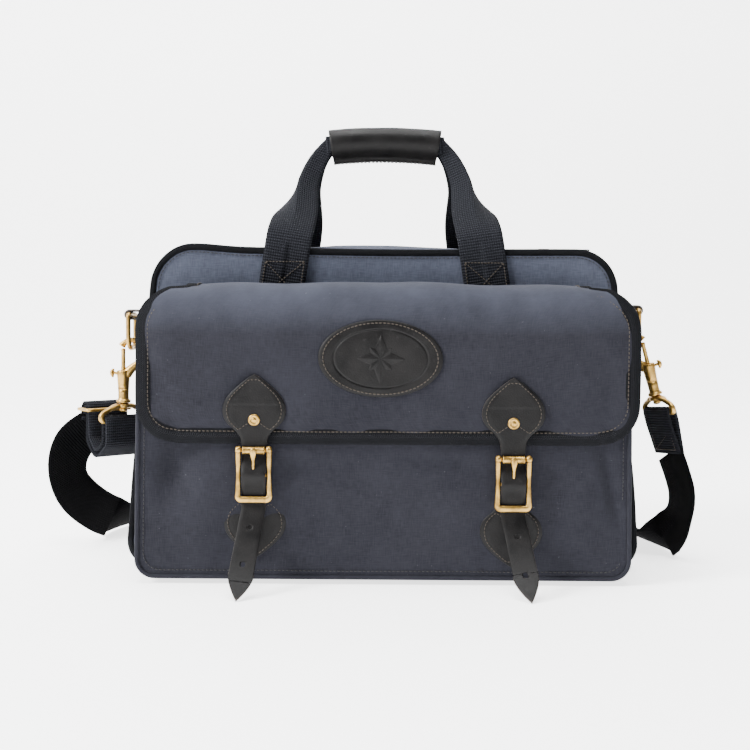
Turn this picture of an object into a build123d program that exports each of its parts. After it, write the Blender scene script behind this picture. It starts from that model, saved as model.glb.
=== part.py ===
from build123d import *
import math
import os

# A canvas messenger bag with a zipped main compartment, a flapped front pocket, webbing
# handles and a clip-on shoulder strap. Millimetres. +X is the wearer's right as the front is
# faced, +Y runs back and +Z is up. The origin is on the ground under the main compartment.

# ---------------------------------------------------------------- driving dimensions
CANVAS = 2.0
BAG_BOTTOM_HALF = 219.0
BAG_TOP_HALF = 194.0
BAG_HEIGHT = 272.0
BAG_HALF_DEPTH = 66.5
BAG_BOTTOM_RADIUS = 22.0
BAG_TOP_RADIUS = 36.0
PIPING = 4.0
SEAM_GAP = 0.02
GUSSET_HALF = BAG_HALF_DEPTH - PIPING
TOP_HALF_LENGTH = 158.0
BASE_HALF_LENGTH = 190.0
ZIP_SLOT_HALF = 12.0
ZIP_RISE = -3.0
TEETH_HALF_LENGTH = 147.0
TOOTH_REACH = 2.2
TOOTH_GAP = 0.4
BLADE_HALF = 0.35

POCKET_BOTTOM_HALF = 199.0
POCKET_TOP_HALF = 196.0
POCKET_LOW = 4.0
POCKET_HEIGHT = 205.0
POCKET_DEPTH = 50.0
POCKET_RADIUS = 14.0
POCKET_BACK = BAG_HALF_DEPTH
POCKET_FACE = POCKET_BACK + POCKET_DEPTH + CANVAS

FLAP_THICK = 2.5
FLAP_HALF = 199.0
FLAP_SHIFT = 3.0
FLAP_LOW = 115.5
FLAP_CREST = 240.0
FLAP_BACK = 69.2
CREST = 92.0
FLAP_FACE = POCKET_FACE + 5.0
FLAP_TOP_RADIUS = 38.0
FLAP_LOW_RADIUS = 30.0
BINDING_WIDTH = 11.0
BINDING_THICK = 1.0
EMBLEM_PLACE = (-3.0, 181.5)
EMBLEM_SIZE = (49.0, 30.0)
EMBLEM_THICK = 2.2

STRAP_X = 102.5
STRAP_HALF = 9.6
STRAP_THICK = 2.2
STRAP_PLANE = FLAP_FACE + BINDING_THICK + 0.1 + STRAP_THICK / 2
SPADE_HALF = 25.0
RIVET_HEIGHT = {"left": 132.5, "right": 131.0}
RIVET_SHANK = 1.5
HOLE_PITCH = 25.4
HOLE_RADIUS = 1.7
TAIL_REACH = 48.0
TAIL_END = 1.0
TAIL_LEAN = {"left": -0.12, "right": 0.15}

BUCKLE_HEIGHT = {"left": 89.0, "right": 83.0}
BUCKLE_HALF = 14.5
BUCKLE_BAR = 4.0
BUCKLE_TOP = 19.7
BUCKLE_BOTTOM = 19.2
ROLLER_RADIUS = 3.1
ROLLER_HALF = 8.8
ROLLER_PIN = 1.5
ROLLER_PLANE = STRAP_PLANE + STRAP_THICK / 2 + 0.3 + ROLLER_RADIUS
CENTRE_BAR = 1.5
CENTRE_PLANE = ROLLER_PLANE - 1.5
BOTTOM_BAR = 2.2
CHAPE_RADIUS = 3.0
TONGUE_HALF = 2.2
TONGUE_SLOT = 1.7
PATCH_THICK = 2.3

HANDLE_HALF = 19.0
WEBBING = 2.5
GRIP_HALF = 48.0
GRIP_HEIGHT = 368.0
GRIP_RADIUS = 14.0
GRIP_WALL = 2.2
GRIP_FIN = 349.5

TAB_HEIGHT = {"left": 214.0, "right": 221.0}
TAB_HALF = 12.0
TAB_REACH = 27.0
RING_WIRE = 2.1
RING_HALF = 15.0
RING_DROP = 30.0
RING_REST = 3.5

# A snap hook is measured from the centre of its hook: x towards the bag and y up. Each clip is
# turned about the vertical and leans out, and its eye has swivelled further.
HOOK_TURN = {"left": 0, "right": 180 - 20}
EYE_TURN = {"left": 40, "right": 180 - 70}
CLIP_LEAN = {"left": 0, "right": 15}
AXIS = -8.0
HOOK_RADIUS = 10.5
HOOK_WIRE = 2.5
HOOK_SHANK = 15.0
HOOK_START = 150
HOOK_END = -50
BARREL = 5.5
BARREL_TOP = -17.0
BARREL_LOW = -46.0
HEAD_LOW = -42.0
HEAD_TALL = 3.0
SWIVEL_PIN = 1.9
SWIVEL_HEAD = 3.2
SPRING_LOW = -36.0
SPRING_WIRE = 0.4
SPRING_TURNS = 5
PLUNGER = 2.1
PLUNGER_LOW = -22.0
PLUNGER_TOP = 3.0
EYE_LOW = -62.0
EYE_TALL = 13.0
EYE_HALF = 22.8
EYE_WIRE = 2.3

STRAP_WEB_HALF = 19.0
STRAP_TUBE = 5.0
STRAP_START = (-46.5, -2.0)
END_LOW = -38.0
GLIDE_PLACE = (-38.0, 8.0)
GLIDE_WIRE = 1.6
GLIDE_REACH = 10.5
GLIDE_HALF = 21.5

SIDES = {"left": -1, "right": 1}

os.makedirs("parts", exist_ok=True)


def write(piece, label):
    """Labels a finished piece and writes its STEP file."""
    piece.part.label = label
    export_step(piece.part, f"parts/{label}.step")


def front(distance):
    """A plane facing the front, at y = -distance, with local x along X and local y along Z."""
    return Plane.XZ.offset(distance)


def box_between(low, high, mode=Mode.ADD):
    """A box between two opposite corners."""
    middle = tuple((a + b) / 2 for a, b in zip(low, high))
    with Locations(middle):
        return Box(*(b - a for a, b in zip(low, high)), mode=mode)


# ---------------------------------------------------------------- outlines in the XZ plane
def trapezoid(low_half, high_half, height, low_radius, high_radius, low=0.0):
    """A rounded trapezoid standing on the line z = low."""
    with BuildSketch() as shape:
        with BuildLine():
            Polyline(
                (-low_half, low), (low_half, low), (high_half, height), (-high_half, height), close=True
            )
        make_face()
        rows = shape.vertices().group_by(Axis.Y)
        fillet(rows[0], low_radius)
        if high_radius:
            fillet(shape.vertices().group_by(Axis.Y)[-1], high_radius)
    return shape.sketch


BAG = trapezoid(BAG_BOTTOM_HALF, BAG_TOP_HALF, BAG_HEIGHT, BAG_BOTTOM_RADIUS, BAG_TOP_RADIUS)
POCKET = trapezoid(POCKET_BOTTOM_HALF, POCKET_TOP_HALF, POCKET_HEIGHT, POCKET_RADIUS, 0, low=POCKET_LOW)
FLAP = trapezoid(
    FLAP_HALF, FLAP_HALF - 1, FLAP_CREST, FLAP_LOW_RADIUS, FLAP_TOP_RADIUS, low=FLAP_LOW
)


# ---------------------------------------------------------------- main compartment
def panel(distance, label):
    """A flat canvas panel inside its piping, its far face at the distance."""
    with BuildPart() as piece:
        with BuildSketch(front(distance - CANVAS)):
            add(BAG)
            offset(amount=-PIPING - SEAM_GAP, mode=Mode.REPLACE)
        extrude(amount=CANVAS)
    write(piece, label)


def piping(distance, label):
    """The covered cord in the seam round a panel."""
    with BuildPart() as piece:
        with BuildSketch(front(distance - PIPING)) as ring:
            add(BAG)
            offset(ring.sketch, amount=-PIPING, mode=Mode.SUBTRACT)
        extrude(amount=PIPING)
    write(piece, label)


def gusset_part(label, drop):
    """A length of the band between the panels: what is left outside the given rectangles."""
    with BuildPart() as piece:
        with BuildSketch(front(-GUSSET_HALF)) as band:
            add(BAG)
            offset(band.sketch, amount=-CANVAS, mode=Mode.SUBTRACT)
            for low, high in drop:
                with Locations(((low[0] + high[0]) / 2, (low[1] + high[1]) / 2)):
                    Rectangle(high[0] - low[0], high[1] - low[1], mode=Mode.SUBTRACT)
        extrude(amount=2 * GUSSET_HALF)
    write(piece, label)


panel(BAG_HALF_DEPTH, "main_front_panel")
panel(-BAG_HALF_DEPTH + CANVAS, "main_rear_panel")
piping(BAG_HALF_DEPTH, "front_piping")
piping(-GUSSET_HALF, "rear_piping")

FAR = BAG_BOTTOM_HALF + 20
TALL = BAG_HEIGHT + 20
LOW_SPLIT = 30.0
left_of_base = ((-FAR, -5), (-BASE_HALF_LENGTH, TALL))
right_of_base = ((BASE_HALF_LENGTH, -5), (FAR, TALL))
above_base = ((-FAR, LOW_SPLIT), (FAR, TALL))
gusset_part("base_panel", (left_of_base, right_of_base, above_base))
gusset_part(
    "side_gusset_left",
    (((-BASE_HALF_LENGTH, -5), (FAR, LOW_SPLIT)), ((-TOP_HALF_LENGTH, LOW_SPLIT), (FAR, TALL))),
)
gusset_part(
    "side_gusset_right",
    (((-FAR, -5), (BASE_HALF_LENGTH, LOW_SPLIT)), ((-FAR, LOW_SPLIT), (TOP_HALF_LENGTH, TALL))),
)

with BuildPart() as base_stiffener:
    box_between((-195, -58, CANVAS + 0.2), (195, 58, CANVAS + 2.2))
write(base_stiffener, "base_stiffener")


# ---------------------------------------------------------------- top and zipper
def top_strip(label, side):
    """One sloping canvas strip between the piping and the zipper."""
    with BuildPart() as piece:
        with BuildSketch(Plane.YZ.offset(-TOP_HALF_LENGTH)):
            with BuildLine():
                Polyline(
                    (side * GUSSET_HALF, BAG_HEIGHT - CANVAS),
                    (side * GUSSET_HALF, BAG_HEIGHT),
                    (side * ZIP_SLOT_HALF, BAG_HEIGHT + ZIP_RISE),
                    (side * ZIP_SLOT_HALF, BAG_HEIGHT + ZIP_RISE - CANVAS),
                    close=True,
                )
            make_face()
        extrude(amount=2 * TOP_HALF_LENGTH)
    write(piece, label)


ZIP_PLANE = BAG_HEIGHT + ZIP_RISE - CANVAS / 2
for name, side in (("front", -1), ("rear", 1)):
    top_strip(f"top_strip_{name}", side)
    inner, outer = side * TOOTH_REACH, side * ZIP_SLOT_HALF
    with BuildPart() as zip_tape:
        box_between(
            (-TOP_HALF_LENGTH, min(inner, outer), ZIP_PLANE - 0.4),
            (TOP_HALF_LENGTH, max(inner, outer), ZIP_PLANE + 0.4),
        )
    write(zip_tape, f"zip_tape_{name}")
    near = side * TOOTH_GAP
    with BuildPart() as zip_teeth:
        box_between(
            (-TEETH_HALF_LENGTH, min(near, inner), ZIP_PLANE - 1.3),
            (TEETH_HALF_LENGTH, max(near, inner), ZIP_PLANE + 1.3),
        )
    write(zip_teeth, f"zip_teeth_{name}")

with BuildPart() as zip_stops:
    for x in (-TEETH_HALF_LENGTH - 2.2, TEETH_HALF_LENGTH + 8):
        box_between((x - 1.8, -2.1, ZIP_PLANE - 1.3), (x + 1.8, 2.1, ZIP_PLANE + 1.3))
write(zip_stops, "zip_stops")

SLIDER_X = TEETH_HALF_LENGTH - 4.0
SLIDER_TOP = ZIP_PLANE + 2.9
with BuildPart() as zip_slider:
    for low, high in ((1.6, 2.9), (-2.9, -1.6)):
        with BuildSketch(Plane.XY.offset(ZIP_PLANE + low)):
            with Locations((SLIDER_X, 0)):
                Trapezoid(13, 16, 80, rotation=90)
        extrude(amount=high - low)
    box_between(
        (SLIDER_X + 1.5, -BLADE_HALF, ZIP_PLANE - 1.6), (SLIDER_X + 7.5, BLADE_HALF, ZIP_PLANE + 1.6)
    )
    for x in (-3.5, 3.5):
        box_between(
            (SLIDER_X + x - 1, -1.5, SLIDER_TOP), (SLIDER_X + x + 1, 1.5, SLIDER_TOP + 3.4)
        )
    box_between(
        (SLIDER_X - 4.5, -1.5, SLIDER_TOP + 3.4), (SLIDER_X + 4.5, 1.5, SLIDER_TOP + 4.6)
    )
write(zip_slider, "zip_slider")

PULL_PIN = SLIDER_TOP + 1.9
with BuildPart() as zip_pull:
    with BuildSketch(Plane.XY.offset(PULL_PIN - 0.7)):
        with Locations((SLIDER_X + 7.5, 0)):
            Rectangle(18, 9)
        with Locations((SLIDER_X + 5.4, 0)):
            Rectangle(10, 5.6, mode=Mode.SUBTRACT)
        with Locations((SLIDER_X + 14, 0)):
            Circle(1.6, mode=Mode.SUBTRACT)
    extrude(amount=1.4)
write(zip_pull, "zip_pull")

with BuildPart() as zip_pull_leather:
    with BuildSketch(Plane.XY.offset(PULL_PIN + 0.75)):
        with Locations((SLIDER_X + 26, 0)):
            SlotOverall(30, 8)
    extrude(amount=1.6)
write(zip_pull_leather, "zip_pull_leather")


# ---------------------------------------------------------------- front pocket
def pocket_part(label, low, high):
    """A length of the pocket's own gusset, kept between two corners."""
    with BuildPart() as piece:
        with BuildSketch(front(POCKET_BACK)) as band:
            add(POCKET)
            offset(band.sketch, amount=-CANVAS, mode=Mode.SUBTRACT)
            with Locations(((low[0] + high[0]) / 2, (low[1] + high[1]) / 2)):
                Rectangle(high[0] - low[0], high[1] - low[1], mode=Mode.INTERSECT)
        extrude(amount=POCKET_DEPTH)
    write(piece, label)


POCKET_SPLIT = POCKET_TOP_HALF - 16
SIDE_TOP = POCKET_HEIGHT - CANVAS
pocket_part("pocket_base", (-POCKET_SPLIT, -5), (POCKET_SPLIT, 20))
pocket_part("pocket_gusset_left", (-FAR, -5), (-POCKET_SPLIT, SIDE_TOP))
pocket_part("pocket_gusset_right", (POCKET_SPLIT, -5), (FAR, SIDE_TOP))

with BuildPart() as pocket_front_panel:
    with BuildSketch(front(POCKET_FACE - CANVAS)):
        add(POCKET)
    extrude(amount=CANVAS)
write(pocket_front_panel, "pocket_front_panel")

with BuildPart() as pocket_hem:
    box_between(
        (-POCKET_TOP_HALF, -POCKET_FACE, POCKET_HEIGHT),
        (POCKET_TOP_HALF, -POCKET_FACE + CANVAS, POCKET_HEIGHT + 2),
    )
write(pocket_hem, "pocket_hem_tape")


# ---------------------------------------------------------------- handles
def leg_sections(x_sign, y_sign):
    """Centre, half-width, half-thickness and lean of a handle leg, from the seam to the grip."""
    rows = [
        # x, y, z, half-width, half-thickness, lean towards the middle, tilt back
        (88, 67.9, 226, HANDLE_HALF, WEBBING / 2, 9, 0),
        (80.5, 67.95, 277, HANDLE_HALF, WEBBING / 2, 10, 0),
        (78, 65.5, 286, HANDLE_HALF, WEBBING / 2, 12, 25),
        (74, 40.0, 308, HANDLE_HALF - 3, 2.0, 18, 42),
        (68, 16.0, 334, 12, 2.6, 40, 35),
        (GRIP_HALF + 2.5, 5.2, 363, 7.5, 3.4, 80, 0),
    ]
    for x, y, z, half, thick, lean, tilt in rows:
        along = Vector(-x_sign * math.sin(math.radians(lean)), 0, math.cos(math.radians(lean)))
        back = -y_sign * math.tan(math.radians(tilt))
        along = (along + Vector(0, back, 0)).normalized()
        across = Vector(along.Z, 0, -along.X).normalized()
        yield Plane(origin=(x_sign * x, y_sign * y, z), x_dir=across, z_dir=along), half, thick


for depth_name, y_sign in (("front", -1), ("rear", 1)):
    with BuildPart() as handle_webbing:
        for x_sign in (-1, 1):
            for plane, half, thick in leg_sections(x_sign, y_sign):
                with BuildSketch(plane):
                    Rectangle(2 * half, 2 * thick)
            loft(ruled=True)
        near, away = sorted((y_sign * 1.4, y_sign * 8.6))
        box_between((-GRIP_HALF - 3, near, GRIP_HEIGHT - 8), (GRIP_HALF + 3, away, GRIP_HEIGHT + 5))
    write(handle_webbing, f"{depth_name}_handle_webbing")

with BuildPart() as grip_wrap:
    with BuildSketch(Plane.YZ.offset(-GRIP_HALF)):
        with Locations((0, GRIP_HEIGHT)):
            Circle(GRIP_RADIUS)
        with Locations((0, GRIP_FIN + 1)):
            Circle(GRIP_WALL)
        make_hull()
        with Locations((0, GRIP_HEIGHT)):
            Circle(GRIP_RADIUS - GRIP_WALL, mode=Mode.SUBTRACT)
    extrude(amount=2 * GRIP_HALF)
write(grip_wrap, "grip_wrap")


# ---------------------------------------------------------------- flap
def webbing_slots():
    """Cuts the gaps where the handle legs pass down behind the flap's seam."""
    for x_sign in (-1, 1):
        box_between((x_sign * 87 - 23, -80, 200), (x_sign * 87 + 23, -60, 260), mode=Mode.SUBTRACT)


with BuildPart() as flap_heading:
    box_between((-163, -FLAP_BACK - 0.1, 228), (163, -BAG_HALF_DEPTH, 239.5))
    webbing_slots()
    box_between(
        (-FLAP_HALF + 40, -CREST + 0.3, FLAP_CREST - FLAP_THICK),
        (FLAP_HALF - 40, -FLAP_BACK - 0.1, FLAP_CREST),
    )
write(flap_heading, "flap_heading")

with BuildPart() as flap_panel:
    with BuildSketch(front(FLAP_FACE - FLAP_THICK)):
        with Locations((FLAP_SHIFT, 0)):
            add(FLAP)
        for side_name, x_sign in SIDES.items():
            with Locations((x_sign * STRAP_X, RIVET_HEIGHT[side_name])):
                Circle(RIVET_SHANK + 0.1, mode=Mode.SUBTRACT)
    extrude(amount=FLAP_THICK)
    box_between(
        (-FLAP_HALF + 40, -FLAP_FACE + FLAP_THICK, FLAP_CREST - FLAP_THICK),
        (FLAP_HALF - 40, -CREST, FLAP_CREST),
    )
write(flap_panel, "flap_panel")

with BuildPart() as flap_binding:
    with BuildSketch(front(FLAP_FACE)) as tape:
        with Locations((FLAP_SHIFT, 0)):
            add(FLAP)
        offset(tape.sketch, amount=-BINDING_WIDTH, mode=Mode.SUBTRACT)
        with Locations((0, FLAP_CREST)):
            Rectangle(4 * FLAP_HALF, 40, mode=Mode.SUBTRACT)
    extrude(amount=BINDING_THICK)
write(flap_binding, "flap_binding")

with BuildPart() as emblem_patch:
    with BuildSketch(front(FLAP_FACE)):
        with Locations(EMBLEM_PLACE):
            Ellipse(*EMBLEM_SIZE)
    extrude(amount=EMBLEM_THICK)
    fillet(emblem_patch.faces().sort_by(Axis.Y)[0].edges(), 0.8)
write(emblem_patch, "emblem_patch")


# ---------------------------------------------------------------- buckle closures
def spade(neck_half, up):
    """A spade outline: its neck at the origin, its pointed crown 46 mm along the given way."""
    with BuildSketch() as shape:
        with BuildLine():
            l1 = ThreePointArc(
                (neck_half, 0), (neck_half + 3.5, up * 6.5), (neck_half + 10, up * 13)
            )
            l2 = ThreePointArc(
                l1 @ 1, (SPADE_HALF, up * 24.5), (SPADE_HALF - 6, up * 38)
            )
            l3 = ThreePointArc(l2 @ 1, (SPADE_HALF - 13, up * 45), (0, up * 53))
            mirror(l1, about=Plane.YZ)
            mirror(l2, about=Plane.YZ)
            mirror(l3, about=Plane.YZ)
            Line((-neck_half, 0), (neck_half, 0))
        make_face()
    return shape.sketch


def strap_plane(z, centre):
    """How far forward the closure strap's middle lies at a height."""
    top, bottom = centre + BUCKLE_TOP, centre - BUCKLE_BOTTOM
    over = CENTRE_PLANE + CHAPE_RADIUS + 0.2 + STRAP_THICK / 2
    under = ROLLER_PLANE - BOTTOM_BAR - 0.3 - STRAP_THICK / 2
    if z >= top:
        return STRAP_PLANE
    if z >= centre:
        share = (1 - math.cos(math.pi * (top - z) / BUCKLE_TOP)) / 2
        return STRAP_PLANE + share * (over - STRAP_PLANE)
    if z >= bottom:
        share = (1 + math.cos(math.pi * (centre - z) / BUCKLE_BOTTOM)) / 2
        return under + share * (over - under)
    fall = (bottom - z) / (bottom - TAIL_END)
    return under + TAIL_REACH * fall**1.6


def ribbon_profile(centre, crown):
    """The strap's side view: a band of even thickness along strap_plane."""
    tops = [crown, centre + BUCKLE_TOP + 3]
    weave = [
        centre + BUCKLE_TOP - k * (BUCKLE_TOP + BUCKLE_BOTTOM) / 20 for k in range(21)
    ]
    low = centre - BUCKLE_BOTTOM
    tail = [low - k * (low - TAIL_END - 1.1) / 10 for k in range(1, 11)]
    heights = tops + weave + tail
    near, away = [], []
    for z in heights:
        slope = (strap_plane(z + 0.05, centre) - strap_plane(z - 0.05, centre)) / 0.1
        size = math.hypot(1, slope)
        y = -strap_plane(z, centre)
        for side, points in ((1, near), (-1, away)):
            points.append(
                (y + side * STRAP_THICK / 2 / size, z + side * STRAP_THICK / 2 * slope / size)
            )
    return near + away[::-1]


def strap_outline(x, rivet, centre, lean):
    """The strap's front view: spade crown, even band and leaning pointed tail, with its holes."""
    neck = rivet - 17
    low = centre - BUCKLE_BOTTOM
    with BuildSketch(front(0)) as shape:
        with Locations((x, neck)):
            add(spade(STRAP_HALF + 0.6, 1))
        with Locations((x, (neck + low) / 2)):
            Rectangle(2 * STRAP_HALF, neck - low + 4)
        with BuildLine():
            drop = low - TAIL_END
            tip = x + lean * drop
            shoulder = 15
            Polyline(
                (x - STRAP_HALF, low + 3),
                (x + STRAP_HALF, low + 3),
                (tip - lean * shoulder + STRAP_HALF, TAIL_END + shoulder),
                (tip + 4, TAIL_END + 1.5),
                (tip, TAIL_END),
                (tip - 4, TAIL_END + 1.5),
                (tip - lean * shoulder - STRAP_HALF, TAIL_END + shoulder),
                close=True,
            )
        make_face()
        for fall in (HOLE_PITCH - 4, 2 * HOLE_PITCH - 4):
            with Locations((x + lean * fall, low - fall)):
                Circle(HOLE_RADIUS, mode=Mode.SUBTRACT)
        with Locations((x, rivet)):
            Circle(RIVET_SHANK + 0.1, mode=Mode.SUBTRACT)
    return shape.sketch


for side_name, x_sign in SIDES.items():
    x, centre, rivet = x_sign * STRAP_X, BUCKLE_HEIGHT[side_name], RIVET_HEIGHT[side_name]

    with BuildPart() as closure_strap:
        with BuildSketch(Plane.YZ.offset(x - 40)):
            with BuildLine():
                Polyline(*ribbon_profile(centre, rivet + 40), close=True)
            make_face()
        extrude(amount=80)
        with BuildSketch(front(0)):
            add(strap_outline(x, rivet, centre, TAIL_LEAN[side_name]))
        extrude(amount=220, mode=Mode.INTERSECT)
        with BuildSketch(Plane.YZ.offset(x - TONGUE_SLOT)):
            with BuildLine():
                Polyline(
                    (-CENTRE_PLANE + 2.6, centre),
                    (-CENTRE_PLANE + 1.6, centre + 6),
                    (-ROLLER_PLANE - ROLLER_RADIUS + 0.1, centre + 23),
                    (-ROLLER_PLANE - ROLLER_RADIUS - 3, centre + 23),
                    (-ROLLER_PLANE - ROLLER_RADIUS - 1, centre + 6),
                    (-CENTRE_PLANE - 4.2, centre - 4),
                    (-CENTRE_PLANE + 2.6, centre - 4),
                    close=True,
                )
            make_face()
        extrude(amount=2 * TONGUE_SLOT, mode=Mode.SUBTRACT)
    write(closure_strap, f"closure_strap_{side_name}")

    with BuildPart() as rivet_piece:
        with BuildSketch(front(FLAP_FACE - FLAP_THICK - 1.2)):
            with Locations((x, rivet)):
                Circle(4.2)
        extrude(amount=1.2)
        with BuildSketch(front(FLAP_FACE - FLAP_THICK)):
            with Locations((x, rivet)):
                Circle(RIVET_SHANK)
        extrude(amount=STRAP_PLANE + STRAP_THICK / 2 - FLAP_FACE + FLAP_THICK)
        with BuildSketch(front(STRAP_PLANE + STRAP_THICK / 2)):
            with Locations((x, rivet)):
                Circle(4.6)
        extrude(amount=1.8)
        chamfer(rivet_piece.faces().sort_by(Axis.Y)[0].edges(), 0.8)
    write(rivet_piece, f"closure_rivet_{side_name}")

    with BuildPart() as buckle_patch:
        with BuildSketch(front(POCKET_FACE)):
            with Locations((x, centre - 15)):
                add(spade(STRAP_HALF + 0.6, -1))
        extrude(amount=PATCH_THICK)
        with BuildSketch(Plane.YZ.offset(x - 8)):
            with BuildLine():
                Polyline(
                    (-POCKET_FACE - PATCH_THICK + 0.5, centre - 22),
                    (-POCKET_FACE - PATCH_THICK - 1.6, centre - 22),
                    (-CENTRE_PLANE + 0.6, centre - 2.4),
                    (-CENTRE_PLANE + 2.4, centre - 1.2),
                    (-POCKET_FACE - PATCH_THICK + 0.5, centre - 16),
                    close=True,
                )
            make_face()
        extrude(amount=16)
        with BuildSketch(Plane.YZ.offset(x - 8)):
            with Locations((-CENTRE_PLANE, centre)):
                Circle(CHAPE_RADIUS)
        extrude(amount=16)
        with BuildSketch(Plane.YZ.offset(x - 12)):
            with Locations((-CENTRE_PLANE, centre)):
                Circle(CENTRE_BAR + 0.1)
        extrude(amount=24, mode=Mode.SUBTRACT)
        box_between(
            (x - TONGUE_HALF - 0.4, -CENTRE_PLANE - 4, centre - 5),
            (x + TONGUE_HALF + 0.4, -CENTRE_PLANE + 4, centre + 5),
            mode=Mode.SUBTRACT,
        )
    write(buckle_patch, f"buckle_patch_{side_name}")

    top_z, low_z = centre + BUCKLE_TOP, centre - BUCKLE_BOTTOM
    with BuildPart() as buckle_frame:
        for bar in (-1, 1):
            edge = x + bar * (BUCKLE_HALF - BUCKLE_BAR / 2)
            with BuildSketch(Plane.XZ.offset(CENTRE_PLANE - 1.6)):
                with Locations((edge, (top_z + low_z) / 2)):
                    SlotOverall(top_z - low_z + 2 * 2.6, BUCKLE_BAR, rotation=90)
            extrude(amount=4.6)
        with BuildSketch(Plane.YZ.offset(x - BUCKLE_HALF + 1)):
            with Locations((-ROLLER_PLANE, low_z)):
                Circle(BOTTOM_BAR)
            with Locations((-CENTRE_PLANE, centre)):
                Circle(CENTRE_BAR)
        extrude(amount=2 * BUCKLE_HALF - 2)
        with BuildSketch(Plane.YZ.offset(x - BUCKLE_HALF + 1)):
            with Locations((-ROLLER_PLANE, top_z)):
                Circle(ROLLER_PIN)
        extrude(amount=2 * BUCKLE_HALF - 2)
    write(buckle_frame, f"buckle_frame_{side_name}")

    with BuildPart() as buckle_roller:
        with BuildSketch(Plane.YZ.offset(x - ROLLER_HALF)):
            with Locations((-ROLLER_PLANE, top_z)):
                Circle(ROLLER_RADIUS)
                Circle(ROLLER_PIN + 0.08, mode=Mode.SUBTRACT)
        extrude(amount=2 * ROLLER_HALF)
    write(buckle_roller, f"buckle_roller_{side_name}")

    tip_y = -ROLLER_PLANE - ROLLER_RADIUS - 1.3
    with BuildPart() as buckle_tongue:
        with BuildSketch(Plane.YZ.offset(x - TONGUE_HALF)):
            with Locations((-CENTRE_PLANE, centre)):
                Circle(2.7)
                Circle(CENTRE_BAR + 0.08, mode=Mode.SUBTRACT)
        extrude(amount=2 * TONGUE_HALF)
        with BuildSketch(Plane.YZ.offset(x - 1.2)):
            with BuildLine():
                Polyline(
                    (-CENTRE_PLANE + 0.6, centre + 2.2),
                    (-CENTRE_PLANE - 1.6, centre + 1.9),
                    (tip_y - 1.0, top_z - 2),
                    (tip_y - 0.6, top_z + 1.6),
                    (tip_y + 0.9, top_z + 1.6),
                    (tip_y + 1.1, top_z - 2),
                    close=True,
                )
            make_face()
        extrude(amount=2.4)
    write(buckle_tongue, f"buckle_tongue_{side_name}")


# ---------------------------------------------------------------- side tabs and rings
def path_sweep(line, radius):
    """Sweeps a round wire along the pending path."""
    with BuildSketch(Plane(origin=line @ 0, z_dir=line % 0)) as wire:
        Circle(radius)
    sweep(wire.sketch, path=line)


def loop_frame(origin, toward, lean):
    """A plane standing on edge: local x goes towards the bag and local y up the leaning axis."""
    turn, tilt = math.radians(toward), math.radians(lean)
    level = Vector(math.cos(turn), math.sin(turn), 0)
    side = 1 if math.cos(turn) > 0 else -1
    up = Vector(side * math.sin(tilt), 0, math.cos(tilt))
    level = (level - up * level.dot(up)).normalized()
    return Plane(origin=origin, x_dir=level, z_dir=level.cross(up))


def across(frame, x, y):
    """A plane through a point of the frame, facing along the frame's own y."""
    return Plane(origin=frame.from_local_coords((x, y, 0)), x_dir=frame.x_dir, z_dir=frame.y_dir)


def side_line(z):
    """The bag's half-width at a height."""
    return BAG_BOTTOM_HALF + (BAG_TOP_HALF - BAG_BOTTOM_HALF) * z / BAG_HEIGHT


RING_X = side_line(TAB_HEIGHT["left"]) + TAB_REACH
TAB_LOOP = RING_WIRE + 0.4 + STRAP_THICK / 2
SIDE_SLOPE = math.atan((BAG_BOTTOM_HALF - BAG_TOP_HALF) / BAG_HEIGHT)


def hook_frame(side):
    """The frame of a snap hook, at the centre of its hook."""
    place = (SIDES[side] * RING_X, 0, TAB_HEIGHT[side] - RING_DROP - RING_REST)
    return loop_frame(place, HOOK_TURN[side], CLIP_LEAN[side])


def eye_frame(side):
    """The frame of a swivel eye, at the middle of its strap bar."""
    place = hook_frame(side).from_local_coords((AXIS, EYE_LOW, 0))
    return loop_frame(place, EYE_TURN[side], CLIP_LEAN[side])


def web_frame(side):
    """A swivel eye's frame turned so that its z runs along the strap bar, as a band's width does."""
    eye_plane = eye_frame(side)
    return Plane(origin=eye_plane.origin, x_dir=eye_plane.z_dir, z_dir=-eye_plane.x_dir)


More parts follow.
